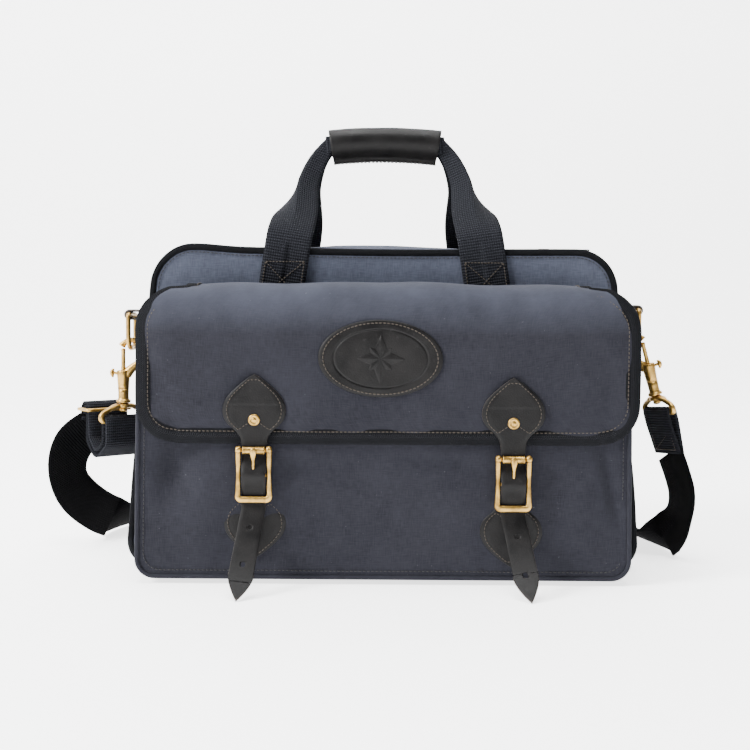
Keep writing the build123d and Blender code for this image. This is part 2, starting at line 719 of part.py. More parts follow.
for side_name, x_sign in SIDES.items():
    tab_z = TAB_HEIGHT[side_name]
    ring_low = tab_z - RING_DROP

    with BuildPart() as ring_tab:
        outward = (x_sign * math.cos(SIDE_SLOPE), 0, math.sin(SIDE_SLOPE))
        seat = (x_sign * side_line(tab_z), 0, tab_z)
        with BuildSketch(Plane(origin=seat, x_dir=(0, 1, 0), z_dir=outward)):
            RectangleRounded(2 * TAB_HALF, 44, 5)
        extrude(amount=STRAP_THICK)
        with BuildSketch(Plane.XZ.offset(-TAB_HALF)):
            with BuildLine():
                start = side_line(tab_z) + 1
                l1 = Line((x_sign * start, tab_z + TAB_LOOP), (x_sign * RING_X, tab_z + TAB_LOOP))
                l2 = ThreePointArc(
                    l1 @ 1, (x_sign * (RING_X + TAB_LOOP), tab_z), (x_sign * RING_X, tab_z - TAB_LOOP)
                )
                Line(l2 @ 1, (x_sign * start, tab_z - TAB_LOOP))
            trace(line_width=STRAP_THICK)
        extrude(amount=2 * TAB_HALF)
    write(ring_tab, f"ring_tab_{side_name}")

    with BuildPart() as d_ring:
        with BuildLine(Plane.YZ.offset(x_sign * RING_X)):
            ring_path = FilletPolyline(
                (RING_HALF, ring_low),
                (RING_HALF, tab_z),
                (-RING_HALF, tab_z),
                (-RING_HALF, ring_low),
                radius=[12, 3, 3, 12],
                close=True,
            )
        path_sweep(ring_path, RING_WIRE)
    write(d_ring, f"d_ring_{side_name}")

    hook = hook_frame(side_name)
    with BuildPart() as snap_hook:
        with BuildLine(hook) as hook_line:
            hook_arc = CenterArc((0, 0), HOOK_RADIUS, HOOK_START, HOOK_END - HOOK_START)
            Line(hook_arc @ 1, (hook_arc @ 1) + (hook_arc % 1) * HOOK_SHANK)
        path_sweep(hook_line.wires()[0], HOOK_WIRE)
        for low, high, radius, mode in (
            (BARREL_LOW, BARREL_TOP, BARREL, Mode.ADD),
            (BARREL_LOW, HEAD_LOW, SWIVEL_PIN + 0.1, Mode.SUBTRACT),
            (HEAD_LOW, HEAD_LOW + HEAD_TALL + 0.4, SWIVEL_HEAD + 0.2, Mode.SUBTRACT),
            (SPRING_LOW, BARREL_TOP + 2, PLUNGER + 0.2, Mode.SUBTRACT),
        ):
            with BuildSketch(across(hook, AXIS, low)):
                Circle(radius)
            extrude(amount=high - low, mode=mode)
        with BuildSketch(across(hook, AXIS - BARREL, SPRING_LOW + 3)):
            Rectangle(2 * BARREL, 3.6)
        extrude(amount=BARREL_TOP + 2 - SPRING_LOW, mode=Mode.SUBTRACT)
    write(snap_hook, f"snap_hook_{side_name}")

    with BuildPart() as snap_plunger:
        with BuildSketch(across(hook, AXIS, PLUNGER_LOW)):
            Circle(PLUNGER)
        extrude(amount=PLUNGER_TOP - PLUNGER_LOW)
        with BuildSketch(across(hook, AXIS - 5.2, PLUNGER_LOW + 0.6)):
            Rectangle(8.4, 2.8)
        extrude(amount=3.4)
        with BuildSketch(across(hook, AXIS - 9.4, PLUNGER_LOW + 0.2)):
            RectangleRounded(2.6, 6, 1)
        extrude(amount=4.2)
    write(snap_plunger, f"snap_plunger_{side_name}")

    with BuildPart() as snap_spring:
        coil_low = SPRING_LOW + SPRING_WIRE + 0.05
        coil_tall = PLUNGER_LOW - 2 * SPRING_WIRE - SPRING_LOW - 0.1
        coil_foot = hook.from_local_coords((AXIS, coil_low, 0))
        with BuildLine():
            helix = Helix(coil_tall / SPRING_TURNS, coil_tall, PLUNGER - 0.6, coil_foot, hook.y_dir)
        with BuildSketch(Plane(origin=helix @ 0, x_dir=hook.y_dir, z_dir=helix % 0)) as flat_wire:
            Rectangle(2 * SPRING_WIRE, 2 * SPRING_WIRE)
        sweep(flat_wire.sketch, path=helix, is_frenet=True)
    write(snap_spring, f"snap_spring_{side_name}")

    eye = eye_frame(side_name)
    pin_top = HEAD_LOW + 0.2 - EYE_LOW
    with BuildPart() as swivel_eye:
        with BuildLine(eye):
            eye_path = FilletPolyline(
                (EYE_HALF, 0),
                (EYE_HALF - 2, EYE_TALL - 6),
                (7, EYE_TALL),
                (-7, EYE_TALL),
                (-EYE_HALF + 2, EYE_TALL - 6),
                (-EYE_HALF, 0),
                radius=3.2,
                close=True,
            )
        path_sweep(eye_path, EYE_WIRE)
        for low, high, radius in (
            (EYE_TALL - 1.5, BARREL_LOW - 0.3 - EYE_LOW, 6.0),
            (EYE_TALL + 1, pin_top, SWIVEL_PIN),
            (pin_top, pin_top + HEAD_TALL, SWIVEL_HEAD),
        ):
            with BuildSketch(across(eye, 0, low)):
                Circle(radius)
            extrude(amount=high - low)
    write(swivel_eye, f"swivel_eye_{side_name}")


# ---------------------------------------------------------------- shoulder strap
def web_loop(frame, points, radii, label):
    """A band of webbing on edge to a frame, laid along rounded runs."""
    with BuildPart() as piece:
        with BuildLine(frame):
            line = FilletPolyline(*points, radius=radii)
        with BuildSketch(Plane(origin=line @ 0, x_dir=frame.z_dir, z_dir=line % 0)) as band:
            Rectangle(2 * STRAP_WEB_HALF, WEBBING)
        sweep(band.sketch, path=line)
    write(piece, label)


BAR_TURN = EYE_WIRE + 0.3 + WEBBING / 2
GLIDE_TURN = GLIDE_WIRE + 0.25 + WEBBING / 2
glide_x, glide_y = GLIDE_PLACE
web_loop(
    web_frame("left"),
    [
        (glide_x - GLIDE_TURN, glide_y - 4),
        (glide_x - GLIDE_TURN, glide_y + GLIDE_TURN),
        (glide_x + GLIDE_TURN, glide_y + GLIDE_TURN),
        (-36, -21),
        (-19, -36),
        (BAR_TURN, -21),
        (BAR_TURN, BAR_TURN),
        (-BAR_TURN, BAR_TURN),
        (-BAR_TURN, -19),
        (-18, -29.5),
        (-31, -17),
        (glide_x + 6.6, glide_y + 6.4),
        (glide_x - 6.6, glide_y + 6.4),
        (glide_x - 7.6, STRAP_START[1]),
    ],
    [GLIDE_TURN - 0.02, GLIDE_TURN - 0.02, 10, 12, 10, BAR_TURN - 0.02, BAR_TURN - 0.02, 8, 7, 8, 5.5, 5.5],
    "strap_loop_left",
)
web_loop(
    web_frame("right"),
    [
        (1.3, END_LOW),
        (BAR_TURN, -10),
        (BAR_TURN, BAR_TURN),
        (-BAR_TURN, BAR_TURN),
        (-BAR_TURN, -10),
        (-1.3, END_LOW),
    ],
    [20, BAR_TURN - 0.02, BAR_TURN - 0.02, 20],
    "strap_end_right",
)

glide_frame = across(web_frame("left"), glide_x, glide_y)
with BuildPart() as strap_slider:
    with BuildLine(glide_frame):
        glide_path = FilletPolyline(
            (GLIDE_REACH, GLIDE_HALF),
            (-GLIDE_REACH, GLIDE_HALF),
            (-GLIDE_REACH, -GLIDE_HALF),
            (GLIDE_REACH, -GLIDE_HALF),
            radius=3,
            close=True,
        )
    path_sweep(glide_path, GLIDE_WIRE)
    with BuildSketch(web_frame("left")):
        with Locations((glide_x, glide_y)):
            Circle(GLIDE_WIRE)
    extrude(amount=GLIDE_HALF, both=True)
write(strap_slider, "strap_slider")

# The strap's route from the slider round behind the bag to the sewn end.
left_start = web_frame("left").from_local_coords((STRAP_START[0], STRAP_START[1], 0))
right_start = web_frame("right").from_local_coords((0, END_LOW, 0))
route = [
    left_start,
    Vector(-281, 32, 104),
    Vector(-292, 27, 86),
    Vector(-293, 23, 66),
    Vector(-285, 25, 47),
    Vector(-269, 38, 29),
    Vector(-256, 64, 16),
    Vector(-247, 97, 11),
    Vector(-232, 132, 14),
    Vector(-202, 158, 18),
    Vector(-152, 166, 19),
    Vector(-109, 140, 19),
    Vector(-68, 111, 19),
    Vector(-18, 103, 19),
    Vector(28, 124, 19),
    Vector(70, 153, 19),
    Vector(119, 172, 19),
    Vector(170, 167, 19),
    Vector(207, 148, 18),
    Vector(232, 120, 16),
    Vector(243, 84, 12),
    Vector(245, 48, 9),
    Vector(246, 12, 9),
    Vector(252, -9, 15),
    Vector(261, -21, 31),
    Vector(267, -22, 51),
    Vector(266, -13, 71),
    right_start,
]
radii = []
for before, corner, after in zip(route, route[1:], route[2:]):
    turn = math.radians((corner - before).get_angle(after - corner))
    run = min((corner - before).length, (after - corner).length)
    radii.append(0.45 * run / math.tan(turn / 2))
with BuildPart() as shoulder_strap:
    with BuildLine() as strap_line:
        FilletPolyline(*route, radius=radii)
    path_sweep(strap_line.wires()[0], STRAP_TUBE)
write(shoulder_strap, "shoulder_strap")

print("strap bend radii:", [round(radius) for radius in radii])
strap_length = strap_line.wires()[0].length
ideal = math.pi * STRAP_TUBE**2 * strap_length
volume_share = shoulder_strap.part.volume / ideal
print("strap length:", round(strap_length), "volume share:", round(volume_share, 4))
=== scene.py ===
import math

import bpy
from mathutils import Matrix, Vector, noise


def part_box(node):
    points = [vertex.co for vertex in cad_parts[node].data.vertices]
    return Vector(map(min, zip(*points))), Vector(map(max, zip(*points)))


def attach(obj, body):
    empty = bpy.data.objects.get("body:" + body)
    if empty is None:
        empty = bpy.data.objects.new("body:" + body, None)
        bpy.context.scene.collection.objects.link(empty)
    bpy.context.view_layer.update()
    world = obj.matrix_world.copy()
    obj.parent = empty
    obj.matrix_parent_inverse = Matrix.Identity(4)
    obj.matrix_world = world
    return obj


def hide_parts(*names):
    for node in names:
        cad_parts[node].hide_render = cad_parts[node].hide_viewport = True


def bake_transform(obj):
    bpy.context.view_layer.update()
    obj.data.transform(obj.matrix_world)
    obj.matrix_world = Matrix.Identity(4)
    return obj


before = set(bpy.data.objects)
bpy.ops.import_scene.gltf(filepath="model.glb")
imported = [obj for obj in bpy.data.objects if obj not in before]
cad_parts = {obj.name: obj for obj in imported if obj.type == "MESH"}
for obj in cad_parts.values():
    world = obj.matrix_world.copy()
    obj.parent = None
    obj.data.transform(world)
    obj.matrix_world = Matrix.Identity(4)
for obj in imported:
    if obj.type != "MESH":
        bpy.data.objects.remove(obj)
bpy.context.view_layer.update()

# A waxed canvas messenger bag. Shapes are worked out in millimetres and stored in metres, in
# the frame of the CAD model: +X right, -Y towards the viewer, +Z up, ground at z = 0.

MM = 0.001
SIDES = (("left", -1), ("right", 1))
FACES = (("front", -1), ("rear", 1))
FRONT = Vector((0, -1, 0))
RIGHT = Vector((1, 0, 0))
UP = Vector((0, 0, 1))


# ---------------------------------------------------------------- sizes read from the frame
def low(node):
    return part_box(node)[0] / MM


def high(node):
    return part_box(node)[1] / MM


BAG_TOP = high("front_piping").z
BAG_HALF = 219.0
BAG_FACE = -low("front_piping").y
BAG_TOP_HALF = 194.0
PANEL_MIDDLE = (0, 136)
BAG_LOW_RADIUS = 22.0
BAG_TOP_RADIUS = 36.0
CORD = 3.1
CORD_INSET = 2.4
SEAM_PLANE = BAG_FACE - 2.0
ZIP_PLANE = (low("zip_tape_front").z + high("zip_tape_front").z) / 2
ZIP_HALF = -low("zip_tape_front").y

POCKET_FACE = -low("pocket_front_panel").y
POCKET_LOW = low("pocket_front_panel").z
POCKET_TOP = high("pocket_front_panel").z
POCKET_HALF = 199.0
POCKET_TOP_HALF = 196.0
POCKET_MIDDLE = (0, 100)
POCKET_RADIUS = 14.0
POCKET_SHEET = POCKET_FACE - 1.0

FLAP_HALF = (high("flap_panel").x - low("flap_panel").x) / 2 + 0.2
FLAP_X = (high("flap_panel").x + low("flap_panel").x) / 2
FLAP_LOW = low("flap_panel").z
FLAP_CREST = high("flap_panel").z
FLAP_FACE = -low("flap_panel").y
FLAP_TOP_RADIUS = 38.0
FLAP_LOW_RADIUS = 30.0
FLAP_SEAM_HALF = 161.0
FLAP_SHEET = 122.3
BINDING = 10.5

STRAP_X = (low("buckle_frame_right").x + high("buckle_frame_right").x) / 2
STRAP_HALF = 9.6
STRAP_THICK = 2.2
STRAP_PLANE = FLAP_FACE + 1.1 + STRAP_THICK / 2
ROLLER_RADIUS = 3.1
ROLLER_PLANE = STRAP_PLANE + STRAP_THICK / 2 + 0.3 + ROLLER_RADIUS
CENTRE_PLANE = ROLLER_PLANE - 1.5
BUCKLE_TOP = 19.7
BUCKLE_BOTTOM = 19.2
CHAPE_RADIUS = 3.0
BOTTOM_BAR = 2.2
TAIL_REACH = 48.0
TAIL_END = 1.0
TAIL_POINT = 16.0
SPADE_NECK = 17.0
HOLE_FALLS = (21.4, 46.8)
TAIL_LEAN = {"left": -0.12, "right": 0.15}
RIVET = {}
CENTRE = {}
for side, _ in SIDES:
    RIVET[side] = (low(f"closure_rivet_{side}").z + high(f"closure_rivet_{side}").z) / 2
    CENTRE[side] = high(f"buckle_roller_{side}").z - ROLLER_RADIUS - BUCKLE_TOP

WEB_HALF = 19.0
WEBBING = 2.5
CANVAS_THICK = 1.6
HEM_THICK = 1.4
FLAP_THICK = 2.2
TAPE_THICK = 0.7
GRIP_HALF = high("grip_wrap").x
GRIP_Z = high("grip_wrap").z - 14.0

RING_X = (low("d_ring_right").x + high("d_ring_right").x) / 2
RING_WIRE = 2.1
HOOK_AXIS = -8.0
EYE_LOW = -62.0
RING_DROP = 30.0
RING_REST = 3.5
HOOK_TURN = {"left": 0, "right": 160}
EYE_TURN = {"left": 40, "right": 110}
CLIP_LEAN = {"left": 0, "right": 15}
TAB_Z = {side: high(f"d_ring_{side}").z - RING_WIRE for side, _ in SIDES}
EYE_WIRE = 2.3
GLIDE_WIRE = 1.6
GLIDE_PLACE = (-38.0, 8.0)
STRAP_START = (-46.5, -2.0)
END_LOW = -38.0


# ---------------------------------------------------------------- shaders
class Shader:
    """A procedural material under construction."""

    def __init__(self, name, roughness=0.6, metallic=0.0, specular=0.4, sheen=0.0):
        self.material = bpy.data.materials.new(name)
        self.material.use_nodes = True
        self.tree = self.material.node_tree
        self.bsdf = self.tree.nodes["Principled BSDF"]
        self.bsdf.inputs["Roughness"].default_value = roughness
        self.bsdf.inputs["Metallic"].default_value = metallic
        self.bsdf.inputs["Specular IOR Level"].default_value = specular
        self.bsdf.inputs["Sheen Weight"].default_value = sheen
        self.bsdf.inputs["Sheen Roughness"].default_value = 0.5
        self.bumps = None

    def add(self, kind, inputs=(), **settings):
        made = self.tree.nodes.new(kind)
        for key, value in settings.items():
            setattr(made, key, value)
        for key, value in dict(inputs).items():
            if isinstance(value, bpy.types.NodeSocket):
                self.tree.links.new(value, made.inputs[key])
            else:
                made.inputs[key].default_value = value
        return made.outputs[0]

    def place(self, source="UV", scale=(1, 1, 1)):
        """Coordinates in metres, along the cloth (UV) or in the frame (Object)."""
        made = self.tree.nodes.new("ShaderNodeTexCoord")
        return self.add(
            "ShaderNodeMapping", {"Vector": made.outputs[source], "Scale": scale}, vector_type="POINT"
        )

    def noise(self, vector, scale, detail=2.0, rough=0.5):
        return self.add(
            "ShaderNodeTexNoise", {"Vector": vector, "Scale": scale, "Detail": detail, "Roughness": rough}
        )

    def math(self, operation, a, b=0.0):
        return self.add("ShaderNodeMath", {0: a, 1: b}, operation=operation)

    def span(self, value, from_low, from_high, to_low=0.0, to_high=1.0):
        """Maps a value from one range to another, clamped."""
        ends = {"From Min": from_low, "From Max": from_high, "To Min": to_low, "To Max": to_high}
        return self.add("ShaderNodeMapRange", {"Value": value, **ends})

    def mix(self, share, a, b):
        made = self.tree.nodes.new("ShaderNodeMix")
        made.data_type = "RGBA"
        for key, value in ((0, share), (6, a), (7, b)):
            if isinstance(value, bpy.types.NodeSocket):
                self.tree.links.new(value, made.inputs[key])
            else:
                made.inputs[key].default_value = value if key == 0 else (*value, 1.0)
        return made.outputs[2]

    def colour(self, value):
        self.tree.links.new(value, self.bsdf.inputs["Base Color"])

    def roughness(self, value):
        self.tree.links.new(value, self.bsdf.inputs["Roughness"])

    def bump(self, height, distance, strength=1.0):
        """Stacks one more layer of relief on the surface; the distance is in metres."""
        inputs = {"Height": height, "Distance": distance, "Strength": strength}
        if self.bumps is not None:
            inputs["Normal"] = self.bumps
        self.bumps = self.add("ShaderNodeBump", inputs)
        self.tree.links.new(self.bumps, self.bsdf.inputs["Normal"])


def canvas_material(name, dark, light, crest_highlight=None):
    """Waxed cotton canvas: slubby plain weave, cloudy wax and pale specks; with a third colour, a painted
    highlight along the crest.
    """
    s = Shader(name, roughness=0.82, specular=0.08, sheen=0.03)
    cloth = s.place("UV")
    warp = s.noise(s.place("UV", (1100, 130, 1)), 1.0, 2.0)
    weft = s.noise(s.place("UV", (130, 1100, 1)), 1.0, 2.0)
    weave = s.math("ADD", warp, weft)
    cloud = s.noise(s.place("Object"), 16.0, 4.0, 0.6)
    patch = s.noise(s.place("Object"), 55.0, 3.0, 0.6)
    shade = s.math("ADD", s.math("MULTIPLY", cloud, 0.6), s.math("MULTIPLY", patch, 0.4))
    base = s.mix(s.span(shade, 0.34, 0.68), dark, light)
    threads = s.span(weave, 0.62, 1.38, 0.0, 1.0)
    base = s.mix(s.math("MULTIPLY", threads, 0.38), base, tuple(2.0 * c + 0.006 for c in light))
    # painted highlight: the canvas lightens by height from z 0.2 m to full at 0.236 m, over the crest,
    # patchy with the cloud
    if crest_highlight is not None:
        height = s.tree.nodes.new("ShaderNodeSeparateXYZ")
        s.tree.links.new(s.place("Object"), height.inputs[0])
        crest = s.span(height.outputs[2], 0.2, 0.236)
        painted_highlight = s.math("MULTIPLY", crest, s.span(shade, 0.25, 0.6, 0.35, 0.75))
        base = s.mix(painted_highlight, base, crest_highlight)
    speck = s.span(s.noise(cloth, 420.0, 1.0), 0.76, 0.8)
    base = s.mix(s.math("MULTIPLY", speck, 0.25), base, (0.12, 0.125, 0.14))
    s.colour(base)
    s.roughness(s.span(shade, 0.3, 0.7, 0.74, 0.92))
    s.bump(weave, 0.0003, 0.55)
    s.bump(patch, 0.0012, 0.4)
    return s.material


def twill_material(name, dark, light, rib=0.0019, turn=0.0):
    """Heavy woven tape or webbing: ribs across it, zigzag ones with a turn, and fuzz. UV runs along."""
    s = Shader(name, roughness=0.85, specular=0.05)
    made = s.tree.nodes.new("ShaderNodeTexCoord")
    split = s.tree.nodes.new("ShaderNodeSeparateXYZ")
    s.tree.links.new(made.outputs["UV"], split.inputs[0])
    along, aside = split.outputs[0], split.outputs[1]
    zigzag = s.math("ADD", along, s.math("PINGPONG", aside, turn)) if turn else along
    phase = s.math("MULTIPLY", zigzag, math.tau / rib)
    ribs = s.math("SINE", phase)
    cross = s.math("SINE", s.math("MULTIPLY", aside, math.tau / (0.8 * rib)))
    weave = s.math("ADD", ribs, s.math("MULTIPLY", cross, 0.6))
    fuzz = s.noise(s.place("Object"), 900.0, 2.0)
    value = s.math("ADD", s.span(weave, -1.6, 1.6), s.math("MULTIPLY", fuzz, 0.5))
    s.colour(s.mix(s.span(value, 0.25, 1.25), dark, light))
    s.bump(weave, 0.00035, 0.8)
    s.bump(fuzz, 0.0002, 0.4)
    return s.material


def leather_material(name, dark, light, gloss=0.46):
    """Bridle leather: pebbled grain, creases, faint scuffs and a waxed shine."""
    s = Shader(name, roughness=gloss, specular=0.13)
    s.bsdf.inputs["Coat Weight"].default_value = 0.03
    s.bsdf.inputs["Coat Roughness"].default_value = 0.35
    place = s.place("Object")
    cells = s.add("ShaderNodeTexVoronoi", {"Vector": place, "Scale": 950.0}, feature="SMOOTH_F1")
    fine = s.noise(place, 1500.0, 2.0)
    cloud = s.noise(place, 60.0, 4.0, 0.6)
    scuff = s.span(s.noise(place, 190.0, 5.0, 0.7), 0.6, 0.74)
    base = s.mix(s.span(cloud, 0.35, 0.7), dark, light)
    base = s.mix(s.math("MULTIPLY", scuff, 0.22), base, tuple(min(1.0, 3.0 * c + 0.02) for c in light))
    s.colour(base)
    s.roughness(s.span(cloud, 0.3, 0.7, gloss - 0.06, gloss + 0.14))
    s.bump(cells, 0.00022, 0.5)
    s.bump(fine, 0.00015, 0.35)
    s.bump(cloud, 0.0009, 0.3)
    return s.material


def cut_edge_material(name):
    """The raw, burnished edge of a leather strap."""
    s = Shader(name, roughness=0.62, specular=0.3)
    fibre = s.noise(s.place("Object", (500, 500, 1600)), 1.0, 3.0)
    s.colour(s.mix(s.span(fibre, 0.3, 0.7), (0.03, 0.025, 0.022), (0.085, 0.07, 0.058)))
    s.bump(fibre, 0.0002, 0.5)
    return s.material


def metal_material(name, bright, dull, rough=0.26):
    """Cast and tumbled metal: tarnish in clouds, fine scratches, small pits."""
    s = Shader(name, roughness=rough, metallic=1.0)
    place = s.place("Object")
    cloud = s.noise(place, 140.0, 4.0, 0.65)
    scratch = s.noise(s.place("Object", (2600, 300, 700)), 1.0, 2.0)
    tarnish = s.span(cloud, 0.42, 0.68)
    s.colour(s.mix(tarnish, bright, dull))
    dulled = s.math("ADD", cloud, s.math("MULTIPLY", scratch, 0.4))
    s.roughness(s.span(dulled, 0.4, 0.95, rough, rough + 0.26))
    s.bump(scratch, 0.00006, 0.35)
    s.bump(s.noise(place, 700.0, 2.0), 0.0001, 0.35)
    return s.material


def thread_material(name, dark, light):
    """Waxed linen thread."""
    s = Shader(name, roughness=0.6, specular=0.3)
    fibre = s.noise(s.place("Object"), 1800.0, 2.0)
    s.colour(s.mix(s.span(fibre, 0.3, 0.7), dark, light))
    s.bump(fibre, 0.00015, 0.5)
    return s.material


def board_material(name):
    """Pressed fibre board."""
    s = Shader(name, roughness=0.8, specular=0.2)
    fibre = s.noise(s.place("Object", (90, 700, 400)), 1.0, 4.0)
    s.colour(s.mix(s.span(fibre, 0.3, 0.7), (0.02, 0.018, 0.016), (0.05, 0.045, 0.04)))
    s.bump(fibre, 0.0003, 0.5)
    return s.material


DEEP_BLUE = (0.0062, 0.0064, 0.0096)
SOFT_BLUE = (0.0138, 0.014, 0.0188)
# the colour of the painted highlight on the flap's crest
CREST_HIGHLIGHT_BLUE = (0.052, 0.057, 0.077)
CANVAS = canvas_material("waxed_canvas", DEEP_BLUE, SOFT_BLUE)
CANVAS_FLAP = canvas_material("waxed_canvas_crest_highlight", DEEP_BLUE, SOFT_BLUE, CREST_HIGHLIGHT_BLUE)
# painted light: a lit copy of the canvas, painted lighter, for the front panel and the top strips
CANVAS_LIT = canvas_material("waxed_canvas_lit", (0.03, 0.034, 0.048), (0.052, 0.058, 0.08))
BINDING_TAPE = twill_material(
    "herringbone_tape", (0.0035, 0.0037, 0.0045), (0.014, 0.0145, 0.017), 0.0017, 0.0035
)
WEB = twill_material("cotton_webbing", (0.0042, 0.0045, 0.006), (0.02, 0.021, 0.0255), 0.0024)
STRAP_WEB = twill_material("black_webbing", (0.0006, 0.0006, 0.0008), (0.0024, 0.0024, 0.003), 0.0024)
ZIP_TAPE = twill_material("zip_tape_weave", (0.006, 0.007, 0.009), (0.02, 0.022, 0.028), 0.0012, 0.002)
LEATHER = leather_material("bridle_leather", (0.0028, 0.0026, 0.0027), (0.0072, 0.0066, 0.0066))
LEATHER_EDGE = cut_edge_material("cut_leather_edge")
BRASS = metal_material("antique_brass", (0.5, 0.31, 0.085), (0.24, 0.14, 0.036))
STEEL = metal_material("spring_wire", (0.6, 0.6, 0.62), (0.4, 0.4, 0.4), 0.3)
TAN_THREAD = thread_material("tan_thread", (0.022, 0.018, 0.014), (0.055, 0.043, 0.032))
GREY_THREAD = thread_material("grey_thread", (0.008, 0.008, 0.009), (0.022, 0.021, 0.021))
BOARD = board_material("fibre_board")


# ---------------------------------------------------------------- mesh building
def piece(name, shape, material, body, replaces=(), mapped=True):
    """A shape (vertices in millimetres, faces, cloth coordinates) becomes an object that rides on a
    body, or with no body is left unparented. Only a mapped piece keeps its cloth coordinates."""
    verts, faces, uvs = shape
    mesh = bpy.data.meshes.new(name)
    mesh.from_pydata([tuple(c * MM for c in v) for v in verts], [], faces)
    mesh.validate()
    if mapped:
        layer = mesh.uv_layers.new(name="cloth")
        for loop in mesh.loops:
            u, v = uvs[loop.vertex_index]
            layer.data[loop.index].uv = (u * MM, v * MM)
    mesh.polygons.foreach_set("use_smooth", [True] * len(mesh.polygons))
    made = bpy.data.objects.new(name, mesh)
    bpy.context.scene.collection.objects.link(made)
    for each in material if isinstance(material, (list, tuple)) else [material]:
        mesh.materials.append(each)
    if body:
        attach(made, body)
    if replaces:
        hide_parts(*replaces)
    return made


def grid(rows, closed_u=False, closed_v=False):
    """Vertices, faces and cloth coordinates of a grid of points: rows run along v, points along u."""
    count_v, count_u = len(rows), len(rows[0])
    verts = [Vector(p) for row in rows for p in row]
    faces = []
    for j in range(count_v if closed_v else count_v - 1):
        for i in range(count_u if closed_u else count_u - 1):
            a = j * count_u + i
            b = j * count_u + (i + 1) % count_u
            c = ((j + 1) % count_v) * count_u + (i + 1) % count_u
            d = ((j + 1) % count_v) * count_u + i
            faces.append((a, b, c, d))
    uvs = []
    down = [0.0] * count_u
    for j in range(count_v):
        run = 0.0
        for i in range(count_u):
            here = verts[j * count_u + i]
            if i:
                run += (here - verts[j * count_u + i - 1]).length
            if j:
                down[i] += (here - verts[(j - 1) * count_u + i]).length
            uvs.append((run, down[i]))
    return verts, faces, uvs


def thicken(made, thickness, offset=0.0, rim=0):
    """Gives a sheet its thickness; rim is the material index of its cut edge."""
    solid = made.modifiers.new("thickness", "SOLIDIFY")
    solid.thickness = thickness * MM
    solid.offset = offset
    solid.material_offset_rim = rim
    return made


def cap_ends(faces, rows):
    """Closes a run of closed sections with a face at each end."""
    ring = len(rows[0])
    faces.append(tuple(range(ring))[::-1])
    faces.append(tuple(range((len(rows) - 1) * ring, len(rows) * ring)))


def along_cloth(uvs):
    """Cloth coordinates that run along a band, not across it."""
    return [(v, u) for u, v in uvs]


def tube(rows):
    """A run of closed sections with a face at each end."""
    verts, faces, uvs = grid(rows, closed_u=True)
    cap_ends(faces, rows)
    return verts, faces, along_cloth(uvs)


def settle(made):
    """Applies every modifier, so that the object is a plain mesh."""
    graph = bpy.context.evaluated_depsgraph_get()
    graph.update()
    mesh = bpy.data.meshes.new_from_object(made.evaluated_get(graph))
    old = made.data
    made.modifiers.clear()
    made.data = mesh
    bpy.data.meshes.remove(old)
    return made


def curve_points(points, count, closed=False):
    """A smooth curve through points, as evenly spaced points."""
    points = [Vector(p) for p in points]
    size = len(points)
    dense = []
    spans = size if closed else size - 1
    for i in range(spans):
        p1, p2 = points[i], points[(i + 1) % size]
        p0 = points[(i - 1) % size] if closed or i else p1 + (p1 - p2)
        p3 = points[(i + 2) % size] if closed or i + 2 < size else p2 + (p2 - p1)
        for step in range(12):
            t = step / 12
            a = p1 * 2
            b = (p2 - p0) * t
            c = (p0 * 2 - p1 * 5 + p2 * 4 - p3) * t * t
            d = (p1 * 3 - p0 - p2 * 3 + p3) * t * t * t
            dense.append((a + b + c + d) / 2)
    if not closed:
        dense.append(points[-1])
    return resample(dense, count, closed)


def resample(points, count, closed=False):
    """Points evenly spaced along a run of straight pieces."""
    points = [Vector(p) for p in points]
    if closed:
        points.append(points[0])
    marks = [0.0]
    for a, b in zip(points, points[1:]):
        marks.append(marks[-1] + (b - a).length)
    total = marks[-1]
    out, k = [], 0
    steps = count if closed else count - 1
    for i in range(count):
        want = total * i / steps
        while k < len(points) - 2 and marks[k + 1] < want:
            k += 1
        size = marks[k + 1] - marks[k]
        share = (want - marks[k]) / size if size else 0.0
        out.append(points[k].lerp(points[k + 1], min(1.0, max(0.0, share))))
    return out


def rounded(corners, radii, closed=True, steps=10):
    """Corner points of an outline, each replaced by an arc of its radius."""
    corners = [Vector(c) for c in corners]
    size = len(corners)
    out = []
    for i, corner in enumerate(corners):
        if not closed and i in (0, size - 1):
            out.append(corner)
            continue
        before, after = corners[i - 1] - corner, corners[(i + 1) % size] - corner
        half = before.angle(after) / 2
        radius = radii[i] if isinstance(radii, (list, tuple)) else radii
        reach = radius / math.tan(half)
        start = corner + before.normalized() * reach
        inward = (before.normalized() + after.normalized()).normalized()
        middle = corner + inward * (radius / math.sin(half))
        finish = corner + after.normalized() * reach
        for k in range(steps + 1):
            if radius > 0:
                spoke = (start - middle).normalized().slerp((finish - middle).normalized(), k / steps)
                out.append(middle + spoke * radius)
            elif k == 0:
                out.append(corner)
    return out


def frames_along(points, up, closed=False):
    """At each point of a path: the point, its direction, its side and its own up."""
    out = []
    size = len(points)
    for i, p in enumerate(points):
        a = points[i - 1] if i or closed else p
        b = points[(i + 1) % size] if i + 1 < size or closed else p
        ahead = (b - a).normalized()
        high_way = up(i) if callable(up) else Vector(up)
        side = ahead.cross(high_way).normalized()
        out.append((p, ahead, side, side.cross(ahead).normalized()))
    return out


def sweep(points, section, up=(0, 0, 1), closed=False):
    """A section, as (side, up) pairs or a function of the path's share, carried along a path."""
    rows = []
    stations = frames_along(points, up, closed)
    for i, (p, _, side, rise) in enumerate(stations):
        shape = section(i / max(1, len(points) - 1)) if callable(section) else section
        rows.append([p + side * a + rise * b for a, b in shape])
    if not closed:
        return tube(rows)
    verts, faces, uvs = grid(rows, closed_u=True, closed_v=True)
    return verts, faces, along_cloth(uvs)


def oval_section(wide, deep, sides):
    """An oval section of two half-widths."""
    turns = [math.tau * k / sides for k in range(sides)]
    return [(wide * math.cos(a), deep * math.sin(a)) for a in turns]


def ring_section(radius, sides=14, flat=1.0):
    """A round section, or with flat not 1 a flattened one."""
    return oval_section(radius, radius * flat, sides)


